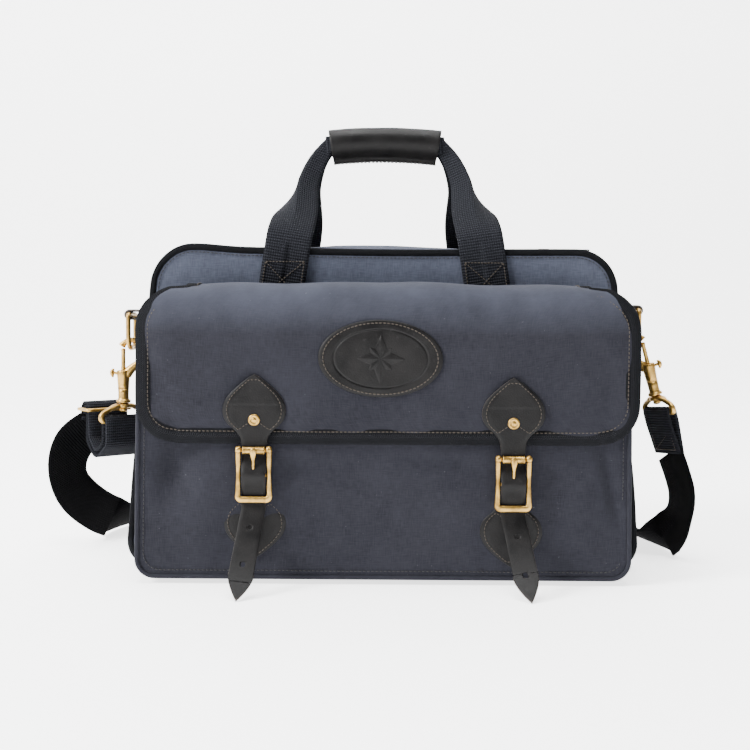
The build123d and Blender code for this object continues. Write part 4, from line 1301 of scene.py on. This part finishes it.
def strap_plane(z, centre):
    """How far forward the closure strap's middle lies at a height: out over the buckle's middle
    bar, under its bottom bar, then away in a long curl."""
    top, bottom = centre + BUCKLE_TOP, centre - BUCKLE_BOTTOM
    over = CENTRE_PLANE + CHAPE_RADIUS + 0.2 + STRAP_THICK / 2
    under = ROLLER_PLANE - BOTTOM_BAR - 0.3 - STRAP_THICK / 2
    if z >= top:
        return STRAP_PLANE
    if z >= centre:
        return STRAP_PLANE + (1 - math.cos(math.pi * (top - z) / BUCKLE_TOP)) / 2 * (over - STRAP_PLANE)
    if z >= bottom:
        return under + (1 + math.cos(math.pi * (centre - z) / BUCKLE_BOTTOM)) / 2 * (over - under)
    return under + TAIL_REACH * ((bottom - z) / (bottom - TAIL_END)) ** 1.6


def strap_stations(side, sign):
    """The closure strap from the tip of its spade to the tip of its tail."""
    rivet, centre, lean = RIVET[side], CENTRE[side], TAIL_LEAN[side]
    neck, bottom, point = rivet - SPADE_NECK, centre - BUCKLE_BOTTOM, TAIL_END + TAIL_POINT
    heights = [neck + rise for _, rise in SPADE[::-1]]
    heights += [neck - (neck - TAIL_END - TAIL_POINT) * k / 130 for k in range(1, 131)]
    heights += [TAIL_END + TAIL_POINT * (1 - k / 18) for k in range(1, 19)]
    for z in heights:
        half = STRAP_HALF
        if z >= neck:
            half = spade_half(z - neck)
        elif z > neck - 6:
            half = STRAP_HALF + 0.6 * ease((z - neck + 6) / 6)
        elif z < point:
            share = (point - z) / TAIL_POINT
            half = STRAP_HALF * (1 - share**1.7) + 0.5
        drop = max(0.0, bottom - z)
        slope = (strap_plane(z + 0.1, centre) - strap_plane(z - 0.1, centre)) / 0.2
        out = Vector((0, -1, slope)).normalized()
        shift = lean * drop * ease(drop / 20)
        across = Vector((1, 0, lean * ease(drop / 20))).normalized()
        wear = 0.25 * ripple(sign * 40, 0, z, 18, 83)
        lift = 0.18 if z > rivet + 12 else 0.0
        place = Vector((sign * STRAP_X + shift + wear, -strap_plane(z, centre) - lift, z))
        yield place, half, across, out


def on_front(x, z, y):
    """A point that lies y forward of the bag's middle plane."""
    return Vector((x, -y, z))


def spade_stitches(name, x, neck, way, plane, body):
    """Stitching round a spade, closed by an upturned V beside its rivet."""
    path = []
    for half, rise in SPADE:
        if 8.5 < rise < 49.5:
            path.append(on_front(x - max(half - 3.4, 0.2), neck + way * min(rise, 49.0), plane))
    right = [on_front(2 * x - p.x, p.z, plane) for p in path]
    tip = on_front(x, neck + way * 48.6, plane)
    peak = neck + way * 14.5
    start, finish = on_front(x - 4.6, peak, plane), on_front(x + 4.6, peak, plane)
    row = stitch_row([start, path[0], *path, tip, *right[::-1], finish], FRONT, 3.0, 2.1, 0.36)
    sew(name, [row], TAN_THREAD, body)


def punched(made, places, radius):
    """Cuts round holes through a piece, from front to back."""
    for place in places:
        verts, faces, _ = lathe([(radius, -12), (radius, 12)], place, FRONT, RIGHT, 20)
        cap_ends(faces, [verts[:20], verts[20:]])
        data = bpy.data.meshes.new("cutter")
        data.from_pydata([tuple(c * MM for c in v) for v in verts], [], faces)
        cutter = bpy.data.objects.new("cutter", data)
        bpy.context.scene.collection.objects.link(cutter)
        cut = made.modifiers.new("hole", "BOOLEAN")
        cut.operation = "DIFFERENCE"
        cut.solver = "EXACT"
        cut.use_self = True
        cut.object = cutter
        settle(made)
        bpy.data.objects.remove(cutter)
    return made


RIVET_HEAD = [
    (0.01, 0.2), (4.6, 0.2), (4.7, 0.7), (4.2, 1.35), (3.3, 1.6),
    (2.7, 1.25), (2.3, 1.05), (1.7, 1.2), (1.1, 1.75), (0.01, 1.9),
]
RIVET_BURR = [(0.01, 0), (4.2, 0), (4.2, 1.0), (3.6, 1.3), (0.01, 1.3)]


def closures():
    """The leather straps with their rivets, and the patches that hold the buckles."""
    for side, sign in SIDES:
        x, rivet, centre = sign * STRAP_X, RIVET[side], CENTRE[side]
        bottom = centre - BUCKLE_BOTTOM
        name, replaced = f"closure_strap_leather_{side}", [f"closure_strap_{side}"]
        strap = leather_band(name, strap_stations(side, sign), STRAP_THICK + 0.3, "flap", replaced)
        holes = []
        for fall in HOLE_FALLS:
            z = bottom - fall
            holes.append(on_front(x + TAIL_LEAN[side] * fall, z, strap_plane(z, centre)))
        punched(strap, holes, 1.8)
        name, neck = f"closure_strap_stitches_{side}", rivet - SPADE_NECK
        spade_stitches(name, x, neck, 1, STRAP_PLANE + 1.3, "flap")

        head = lathe(RIVET_HEAD, on_front(x, rivet, STRAP_PLANE + STRAP_THICK / 2), FRONT, RIGHT, 32)
        burr = lathe(RIVET_BURR, on_front(x, rivet, FLAP_FACE - 2.6), -FRONT, RIGHT, 24)
        name, replaced = f"closure_rivet_brass_{side}", [f"closure_rivet_{side}"]
        piece(name, merge(head, burr), BRASS, "flap", replaced, mapped=False)

        neck, plane = centre - 15, POCKET_FACE + 1.3
        stations = []
        for half, rise in SPADE[::-1]:
            stations.append((on_front(x, neck - rise, plane), half, RIGHT, FRONT))
        for k in range(1, 6):
            stations.append((on_front(x, neck + 1.2 * k, plane + 0.9 * k), 9.2, RIGHT, FRONT))
        leather_band(f"buckle_patch_leather_{side}", stations, 2.3, "root", [f"buckle_patch_{side}"])
        spade_stitches(f"buckle_patch_stitches_{side}", x, neck, -1, POCKET_FACE + 2.5, "root")
        for n, offset in enumerate((-5.4, 5.4)):
            # from the patch up over the buckle's middle bar and back down to the patch
            route = [
                (POCKET_FACE + 3.2, neck - 3), (POCKET_FACE + 5.4, neck + 5),
                (CENTRE_PLANE + 2.2, centre - 2.6), (CENTRE_PLANE + 2.5, centre + 0.4),
                (CENTRE_PLANE + 0.6, centre + 2.4), (CENTRE_PLANE - 1.8, centre + 1.6),
                (CENTRE_PLANE - 2.4, centre - 1.6), (POCKET_FACE + 4.4, neck + 3.5),
            ]
            path = curve_points([(x + offset, -y, z) for y, z in route], 40)
            loop = ribbon(path, lambda share: RIGHT, 2.5, 1.5)
            piece(f"buckle_chape_{side}_{n}", loop, LEATHER, "root")


BUCKLE_KNOB = [
    (0.01, -2.5), (1.6, -2.4), (2.7, -1.7), (3.1, -0.4), (3.1, 0.7), (2.6, 1.8), (1.5, 2.4), (0.01, 2.5),
]
BUCKLE_SLEEVE = [
    (1.6, -8.7), (2.9, -8.75), (3.15, -8.4), (3.15, -7.9), (2.95, -7.6), (2.98, -2.5), (2.86, 0),
    (2.98, 2.5), (2.95, 7.6), (3.15, 7.9), (3.15, 8.4), (2.9, 8.75), (1.6, 8.7), (1.6, -8.7),
]
TONGUE_HUB = [(1.6, -2.1), (2.5, -2.1), (2.65, -1.4), (2.65, 1.4), (2.5, 2.1), (1.6, 2.1), (1.6, -2.1)]


def buckles():
    """Cast brass roller buckles: a waisted frame with knobs, a rolled sleeve and a tapered tongue."""
    for side, sign in SIDES:
        x, centre = sign * STRAP_X, CENTRE[side]
        top, bottom = centre + BUCKLE_TOP, centre - BUCKLE_BOTTOM
        y = -(CENTRE_PLANE + 0.7)
        half_frame = [(12.3, y - 0.4, top + 0.6), (12.0, y, centre), (12.6, y - 0.4, bottom - 0.2)]
        corners = [(x - a, b, c) for a, b, c in half_frame] + [(x + a, b, c) for a, b, c in half_frame[::-1]]
        path = resample(rounded(corners, [0, 60, 3.2, 3.2, 60, 0], closed=False, steps=14), 150)
        total = sum((b - a).length for a, b in zip(path, path[1:]))

        def section(share, total=total):
            away = abs(share - 0.5) * total
            foot = 1 - ease((away - 11.0) / 6.0)
            waist = bell(away - 32, 11)
            wide, deep = 1.95 + 0.75 * foot - 0.2 * waist, 1.7 + 0.25 * foot
            shape = []
            for c, s in oval_section(1.0, 1.0, 20):
                side_way, up_way = math.copysign(abs(s) ** 0.75, s), math.copysign(abs(c) ** 0.75, c)
                shape.append((wide * side_way, deep * up_way))
            return shape

        bars = [sweep(path, section, up=FRONT)]
        for bar in (-1, 1):
            place = Vector((x + bar * 12.0, -ROLLER_PLANE + 0.2, top + 0.4))
            bars.append(lathe(BUCKLE_KNOB, place, RIGHT, UP, 22))
        pin = Vector((x, -ROLLER_PLANE, top))
        middle = Vector((x, -CENTRE_PLANE, centre))
        for place, half, radius in ((pin, 11.5, 1.4), (middle, 12.5, 1.45)):
            profile = [(0.01, -half), (radius, -half), (radius, half), (0.01, half)]
            bars.append(lathe(profile, place, RIGHT, UP, 14))
        name, replaced = f"buckle_frame_brass_{side}", [f"buckle_frame_{side}"]
        piece(name, merge(*bars), BRASS, f"buckle_{side}", replaced)

        sleeve = lathe(BUCKLE_SLEEVE, pin, RIGHT, UP, 30)
        name, replaced = f"buckle_sleeve_brass_{side}", [f"buckle_roller_{side}"]
        piece(name, sleeve, BRASS, f"roller_{side}", replaced)

        tip = ROLLER_PLANE + ROLLER_RADIUS + 1.2
        line = [(CENTRE_PLANE + 1.9, centre + 1.4), (CENTRE_PLANE + 3.4, centre + 6), (tip - 1.6, top - 8),
                (tip - 0.3, top - 3), (tip, top), (tip - 0.5, top + 2.4)]
        spine = [on_front(x, z, y) for y, z in line]

        def taper(share):
            half = 1.0 + 1.35 * ease((share - 0.42) / 0.4)
            half *= 1 - 0.55 * ease((share - 0.92) / 0.08)
            return oval_section(half, 0.95, 14)

        tongue = sweep(curve_points(spine, 40), taper, up=FRONT)
        hub = lathe(TONGUE_HUB, middle, RIGHT, UP, 20)
        name, replaced = f"buckle_tongue_brass_{side}", [f"buckle_tongue_{side}"]
        piece(name, merge(tongue, hub), BRASS, f"tongue_{side}", replaced)


closures()
buckles()


# ---------------------------------------------------------------- handles
LEG = [
    # x, y, z of the webbing's middle, lean to the centre, width of each half, fold in degrees
    (88, 68.2, 226, 9, 19, 0),
    (84, 68.3, 252, 9, 19, 0),
    (80.5, 68.3, 275, 10, 19, 0),
    (78.3, 65.0, 287, 12, 19, 6),
    (75.5, 50.0, 302, 16, 18.8, 26),
    (72.0, 33.0, 318, 26, 17.5, 70),
    (66.5, 18.0, 334, 46, 15.0, 128),
    (59.0, 9.0, 351, 62, 12.0, 158),
    (49.0, 6.2, 365, 80, 9.0, 168),
]


def leg_at(share):
    """The handle leg's values at a share of its length."""
    place = share * (len(LEG) - 1)
    k = min(int(place), len(LEG) - 2)
    t = place - k
    before, after = LEG[max(k - 1, 0)], LEG[min(k + 2, len(LEG) - 1)]
    values = []
    for a, b, c, d in zip(before, LEG[k], LEG[k + 1], after):
        values.append(b + 0.5 * t * (c - a + t * (2 * a - 5 * b + 4 * c - d + t * (3 * (b - c) + d - a))))
    return values


def fold_section(half, fold, thick):
    """A webbing section folded back on itself by an angle about its middle."""
    bend = 1.5
    line = [((-1 + k / 6) * half, 0.0, 0.0) for k in range(7)]
    for k in range(1, 7):
        a = fold * k / 6
        line.append((bend * math.sin(a), -bend * (1 - math.cos(a)), a))
    x, z, a = line[-1]
    run = max(0.5, half - bend * fold)
    for k in range(1, 7):
        line.append((x + run * k / 6 * math.cos(a), z - run * k / 6 * math.sin(a), a))
    top = [(u + thick / 2 * math.sin(t), v + thick / 2 * math.cos(t)) for u, v, t in line]
    under = [(u - thick / 2 * math.sin(t), v - thick / 2 * math.cos(t)) for u, v, t in line]
    return top + under[::-1]


def handle_leg(x_sign, y_sign, count=110):
    """One leg: webbing flat on the panel, then folding in half as it runs to the grip."""
    places = []
    for i in range(count):
        x, y, z, lean, half, fold = leg_at(i / (count - 1))
        across = Vector((x_sign * math.cos(math.radians(lean)), 0, math.sin(math.radians(lean))))
        fold = math.radians(max(0.0, fold))
        middle = Vector((x_sign * x, y_sign * y, z)) + across * half * (1 - math.cos(fold)) / 4
        places.append((middle, across, half, fold))
    rows = []
    for i, (middle, across, half, fold) in enumerate(places):
        ahead = (places[min(i + 1, count - 1)][0] - places[max(i - 1, 0)][0]).normalized()
        across = (across - ahead * across.dot(ahead)).normalized()
        out = ahead.cross(across)
        out = out if out.y * y_sign > 0 else -out
        waver = 0.5 * ripple(x_sign * 50, y_sign * 20, middle.z, 26, 91) * ease((middle.z - 276) / 20)
        rows.append([middle + across * a + out * (b + waver) for a, b in fold_section(half, fold, WEBBING)])
    return tube(rows)


FOOT_Z = LEG[0][2]
FOOT_X = LEG[0][0]
FOOT_LEAN = LEG[2][0] - FOOT_X
FOOT_RUN = 51
WEB_FACE = 69.75


def box_stitches(x_sign, y_sign, low_z=229.0, high_z=259.5, half=16.2):
    """A sewn box with a cross in it, at the foot of a handle leg."""

    def at(aside, z):
        middle = FOOT_X + FOOT_LEAN * (z - FOOT_Z) / FOOT_RUN
        return Vector((x_sign * (middle + aside), y_sign * WEB_FACE, z))

    corners = [at(-half, low_z), at(half, low_z), at(half, high_z), at(-half, high_z)]
    runs = [corners + corners[:1], [corners[0], corners[2]], [corners[1], corners[3]]]
    return [stitch_row(run, (0, y_sign, 0), 2.7, 2.0) for run in runs]


GRIP_ARCH = 2.6


def grip_shell(size):
    """Rings of the leather sleeve from end to end: round above, pinched to a sewn fin below."""
    half = [
        (0, 14.0), (5.6, 12.9), (10.0, 9.6), (12.9, 4.4), (13.2, -1.5), (11.2, -6.6),
        (7.8, -10.6), (5.0, -13.4), (3.5, -16.2), (3.0, -18.4), (0, -19.0),
    ]
    shape = half + [(-a, b) for a, b in half[-2:0:-1]]
    rows = []
    for k in range(49):
        x = GRIP_HALF * (2 * k / 48 - 1)
        arch = -GRIP_ARCH * (x / GRIP_HALF) ** 2
        pinch = 1 + 0.03 * (x / GRIP_HALF) ** 2
        ring = [(x + 0.16 * b * x / GRIP_HALF, a * pinch, b) for a, b in shape]
        row = []
        for px, a, b in ring:
            grow = size if b > -12 else size - 0.12
            row.append((px, a * grow, GRIP_Z + arch + b * grow + 0.35 * ripple(px, a, b, 22, 97)))
        rows.append(row)
    return rows


def handles():
    """Both webbing loops, their sewn feet and the leather grip."""
    for face, y_sign in FACES:
        legs = [handle_leg(x_sign, y_sign) for x_sign in (-1, 1)]
        inside = [(x, y_sign * 5.8, GRIP_Z - 3.4 * abs(x) / 52) for x in (-52.0, 0.0, 52.0)]
        core = ribbon(curve_points(inside, 30), lambda share: UP, 6.5, 5.0)
        replaced = [f"{face}_handle_webbing"]
        web = piece(f"{face}_handle_web", merge(*legs, core), WEB, None, replaced)
        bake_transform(web)
        boxes = box_stitches(-1, y_sign) + box_stitches(1, y_sign)
        sew(f"{face}_handle_stitches", boxes, TAN_THREAD, "root")
    rows = grip_shell(1.0) + grip_shell(0.84)[::-1]
    verts, faces, uvs = grid(rows, closed_u=True, closed_v=True)
    shell = (verts, faces, along_cloth(uvs))
    piece("grip_leather", shell, LEATHER, "handles", ["grip_wrap"])
    seams = []
    for y_sign in (-1, 1):
        line = []
        for x in range(-46, 47, 4):
            line.append(Vector((x, y_sign * 3.5, GRIP_Z - 16.4 - GRIP_ARCH * (x / GRIP_HALF) ** 2)))
        seams.append(stitch_row(line, (0, y_sign, 0), 3.4, 2.4, 0.4))
    sew("grip_stitches", seams, GREY_THREAD, "handles")


handles()


# ---------------------------------------------------------------- side tabs, rings and clips
ACROSS = Vector((0, 1, 0))
PLATE_LENGTH = 44
PLATE_HALF = 12.0
PLATE_CORNER = 5


def side_line(z):
    """The bag's half-width at a height."""
    return BAG_HALF + (BAG_TOP_HALF - BAG_HALF) * z / BAG_TOP


def ring_tabs():
    """Leather tabs on the gussets, each with a sewn plate and a loop round its ring."""
    for side, sign in SIDES:
        tab = TAB_Z[side]
        turn = RING_WIRE + 0.4 + STRAP_THICK / 2
        slope = math.atan((BAG_HALF - BAG_TOP_HALF) / BAG_TOP)
        out = Vector((sign * math.cos(slope), 0, math.sin(slope)))
        down = Vector((sign * math.sin(slope), 0, -math.cos(slope)))
        seat = Vector((sign * (side_line(tab) + 1.2), 0, tab))
        stations = []
        for k in range(25):
            run = PLATE_LENGTH * (k / 24 - 0.5)
            inset = max(0.0, abs(run) - PLATE_LENGTH / 2 + PLATE_CORNER)
            round_off = PLATE_CORNER - math.sqrt(max(0.0, PLATE_CORNER**2 - inset * inset))
            stations.append((seat + down * run, PLATE_HALF - round_off, ACROSS, out))
        leather_band(f"ring_plate_leather_{side}", stations, 2.4, "root", [f"ring_tab_{side}"])
        near = side_line(tab) + 2.0
        arc = [(sign * near, 0, tab + turn - 1.2), (sign * (near + 5), 0, tab + turn)]
        for k in range(13):
            a = math.pi / 2 - math.pi * k / 12
            arc.append((sign * (RING_X + turn * math.cos(a)), 0, tab + turn * math.sin(a)))
        arc += [(sign * (near + 5), 0, tab - turn), (sign * near, 0, tab - turn + 1.2)]
        rows = []
        for p, ahead, _, _ in frames_along(resample(arc, 46), ACROSS):
            half = 11.8 - 0.8 * ease((abs(p.x) - near) / 20)
            rows.append((p, half, ACROSS, ahead.cross(ACROSS)))
        leather_band(f"ring_loop_leather_{side}", rows, STRAP_THICK, "root")
        lift = seat + out * 1.3
        boxes = []
        for way in (1, -1):
            box = ((-9, 6), (9, 6), (9, 19), (-9, 19), (-9, 6))
            marks = [lift + ACROSS * a + down * b * way for a, b in box]
            boxes.append(stitch_row(marks, out, 2.8, 2.0, 0.36))
        sew(f"ring_plate_stitches_{side}", boxes, TAN_THREAD, "root")


def turned(place, profile, x, turns=28):
    """A turned shape about a line of a clip's frame parallel to its y."""
    origin, level, up, _ = place
    return lathe(profile, origin + level * x, up, level, turns)


HOOK_RADIUS = 10.5
HOOK_FOOT = [
    (0.01, -46.2), (4.4, -46.2), (6.2, -45.6), (6.5, -44.6), (6.1, -43.6),
    (5.0, -42.8), (4.7, -41), (4.75, -37), (4.95, -33), (0.01, -33),
]
PLUNGER_ROD = [
    (0.01, -22), (2.05, -22), (2.05, -14), (1.85, -12), (1.85, 0.5),
    (2.05, 1.2), (1.9, 2.6), (1.0, 3.1), (0.01, 3.2),
]
BARREL_HEIGHTS = (-33.2, -30, -26, -22, -19, -17.4, -16.8)
BARREL_BORE = 2.4
SLOT_HALF = 1.8


def slot_arc(radius, steps):
    """Angles round a barrel of a radius, from one side of its slot to the other."""
    start = math.asin(SLOT_HALF / radius)
    return [start + (math.tau - 2 * start) * k / steps for k in range(steps + 1)]


def slotted_barrel(place):
    """The barrel of a hook, open towards the thumb lever."""
    rows = []
    for height in BARREL_HEIGHTS:
        radius = 4.95 + 0.75 * ease((height + 34) / 14) - (0.5 if height > -17 else 0.0)
        ring = [(radius, a) for a in slot_arc(radius, 26)]
        ring += [(BARREL_BORE, a) for a in slot_arc(BARREL_BORE, 20)[::-1]]
        rows.append([spot(place, HOOK_AXIS - r * math.cos(a), height, r * math.sin(a)) for r, a in ring])
    return tube(rows)


def snap_hooks():
    """Cast bolt snaps: a nibbed hook flowing into a collared barrel with a slot for the thumb lever."""
    for side, _ in SIDES:
        place = hook_frame(side)
        out = place[3]
        line = []
        for k in range(27):
            a = math.radians(150 - 200 * k / 26)
            line.append((HOOK_RADIUS * math.cos(a), HOOK_RADIUS * math.sin(a)))
        line += [(4.6, -10.4), (1.2, -13.4), (-2.8, -17.4), (-5.2, -21)]
        path = curve_points([spot(place, x, y) for x, y in line], 90)

        def neck(share):
            nib = bell(share, 0.045)
            fork = ease((share - 0.66) / 0.3)
            return oval_section(2.45 + 0.75 * nib + 1.9 * fork, 2.5 + 0.7 * nib + 1.5 * fork, 18)

        parts = [sweep(path, neck, up=out)]
        parts.append(turned(place, HOOK_FOOT, HOOK_AXIS))
        parts.append(slotted_barrel(place))
        name, replaced = f"snap_hook_brass_{side}", [f"snap_hook_{side}"]
        piece(name, merge(*parts), BRASS, f"hook_{side}", replaced)

        rod = turned(place, PLUNGER_ROD, HOOK_AXIS, 20)
        arm = [spot(place, HOOK_AXIS - x, y) for x, y in ((1, -19.6), (5, -19.6), (8, -19.0), (10, -19.2))]
        lever = sweep(curve_points(arm, 16), ring_section(1.35, 12, 0.95), up=out)
        ear = [(8.6, -15.2), (10.0, -17.6), (10.2, -20.0), (9.4, -23.2)]
        ear = [spot(place, HOOK_AXIS - x, y) for x, y in ear]

        def barb(share):
            size = 0.5 + 1.5 * hump(share) ** 0.8
            return oval_section(size, 1.35 * size, 12)

        thumb = sweep(curve_points(ear, 22), barb, up=out)
        name, replaced = f"snap_plunger_brass_{side}", [f"snap_plunger_{side}"]
        piece(name, merge(rod, lever, thumb), BRASS, f"plunger_{side}", replaced)


EYE_BOSS = [(0.01, 11.4), (4.8, 11.5), (6.0, 12.2), (6.2, 13.4), (5.6, 14.6), (4.2, 15.4), (0.01, 15.6)]
EYE_STEM = [(1.9, 15.0), (1.9, 20.2), (3.2, 20.4), (3.2, 22.6), (0.01, 22.8)]
EYE_FOOT = [(0.01, 7.6), (2.0, 7.8), (3.4, 8.8), (3.6, 10.2), (3.0, 11.6), (0.01, 11.7)]


def swivel_eyes():
    """The flattened loop below each hook, with its riveted swivel."""
    for side, _ in SIDES:
        place = eye_frame(side)
        half = [(22.8, 0, 0), (20.8, 7, 0), (8, 13.2, 0)]
        corners = half + [(-a, b, c) for a, b, c in half[::-1]]
        outline = resample(rounded(corners, [3.2, 6, 9, 9, 6, 3.2], steps=8), 160, closed=True)
        path = [spot(place, p.x, p.y) for p in outline]
        origin, level, up, out = place

        rows = []
        for p, _, aside, rise in frames_along(path, out, closed=True):
            tall, reach = (p - origin).dot(up), abs((p - origin).dot(level))
            crown = ease((tall - 8) / 5) * (1 - ease((reach - 8) / 8))
            ball = bell(reach - 22, 3.2) * (1 - ease((tall - 4) / 4))
            thick, wide = 2.25 + 0.5 * ball, 2.25 + 1.6 * crown + 0.5 * ball
            rows.append([p + aside * a + rise * b for a, b in oval_section(thick, wide, 18)])
        loop = grid(rows, closed_u=True, closed_v=True)
        boss = turned(place, EYE_BOSS, 0)
        stem = turned(place, EYE_STEM, 0, 20)
        foot = turned(place, EYE_FOOT, 0, 22)
        name, replaced = f"swivel_eye_brass_{side}", [f"swivel_eye_{side}"]
        piece(name, merge(loop, boss, stem, foot), BRASS, "root", replaced)


def band_run(place, points, radii, count=200):
    """A rounded run of points (x, y) in a clip's frame."""
    run = rounded([(a, b, 0) for a, b in points], [0, *radii, 0], closed=False, steps=8)
    return [spot(place, p.x, p.y) for p in resample(run, count)]


def strap_ends():
    """The webbing round both eyes: a loop through the slider on the left, a sewn end on the right."""
    left, right = web_frame("left"), web_frame("right")
    gx, gy = GLIDE_PLACE
    glide, bar = GLIDE_WIRE + 0.25 + WEBBING / 2, EYE_WIRE + 0.3 + WEBBING / 2
    tight_glide, tight_bar = glide - 0.02, bar - 0.02
    points = [
        (gx - glide, gy - 4), (gx - glide, gy + glide), (gx + glide, gy + glide), (-36, -21), (-19, -36),
        (bar, -21), (bar, bar), (-bar, bar), (-bar, -19), (-18, -29.5), (-31, -17),
        (gx + 6.6, gy + 6.4), (gx - 6.6, gy + 6.4), (gx - 7.6, STRAP_START[1]),
    ]
    radii = [tight_glide, tight_glide, 10, 12, 10, tight_bar, tight_bar, 8, 7, 8, 5.5, 5.5]
    loop = ribbon(band_run(left, points, radii, count=260), lambda share: left[3])
    piece("strap_loop_web", loop, WEB, "root", ["strap_loop_left"])
    points = [(1.3, END_LOW), (bar, -10), (bar, bar), (-bar, bar), (-bar, -10), (-1.3, END_LOW)]
    end = ribbon(band_run(right, points, [20, tight_bar, tight_bar, 20]), lambda share: right[3])
    piece("strap_end_web", end, WEB, "root", ["strap_end_right"])
    rows = []
    low_y, high_y, half = -34, -16, 15
    box = (low_y, -half), (low_y, half), (high_y, half), (high_y, -half), (low_y, -half), (high_y, half)
    for face in (-1, 1):
        marks = [spot(right, face * (3.0 + 0.035 * (y - low_y)), y, z) for y, z in box]
        rows.append(stitch_row(marks, right[1] * face, 2.8, 2.0))
    sew("strap_end_stitches", rows, TAN_THREAD, "root")


ring_tabs()
snap_hooks()
swivel_eyes()
strap_ends()


# ---------------------------------------------------------------- zip pull and the kept CAD nodes
def zip_pull_strip():
    """The leather strip on the zip's pull tab."""
    low_corner, high_corner = low("zip_pull_leather"), high("zip_pull_leather")
    middle = (low_corner + high_corner) / 2
    length, half = high_corner.x - low_corner.x, high_corner.y
    stations = []
    for k in range(31):
        run = length * (k / 30 - 0.5)
        inset = max(0.0, abs(run) - length / 2 + half)
        width = math.sqrt(max(0.05, half * half - inset * inset))
        stations.append((Vector((middle.x + run, 0, middle.z)), width, ACROSS, UP))
    leather_band("zip_pull_strip", stations, high_corner.z - low_corner.z, "zip_pull", ["zip_pull_leather"])


def dress(material, *nodes):
    """Gives kept CAD nodes their material."""
    for name in nodes:
        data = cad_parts[name].data
        data.materials.clear()
        data.materials.append(material)


zip_pull_strip()
dress(BRASS, "zip_slider", "zip_pull", "zip_stops", "strap_slider", "d_ring_left", "d_ring_right")
dress(STEEL, "snap_spring_left", "snap_spring_right")
dress(BOARD, "base_stiffener")
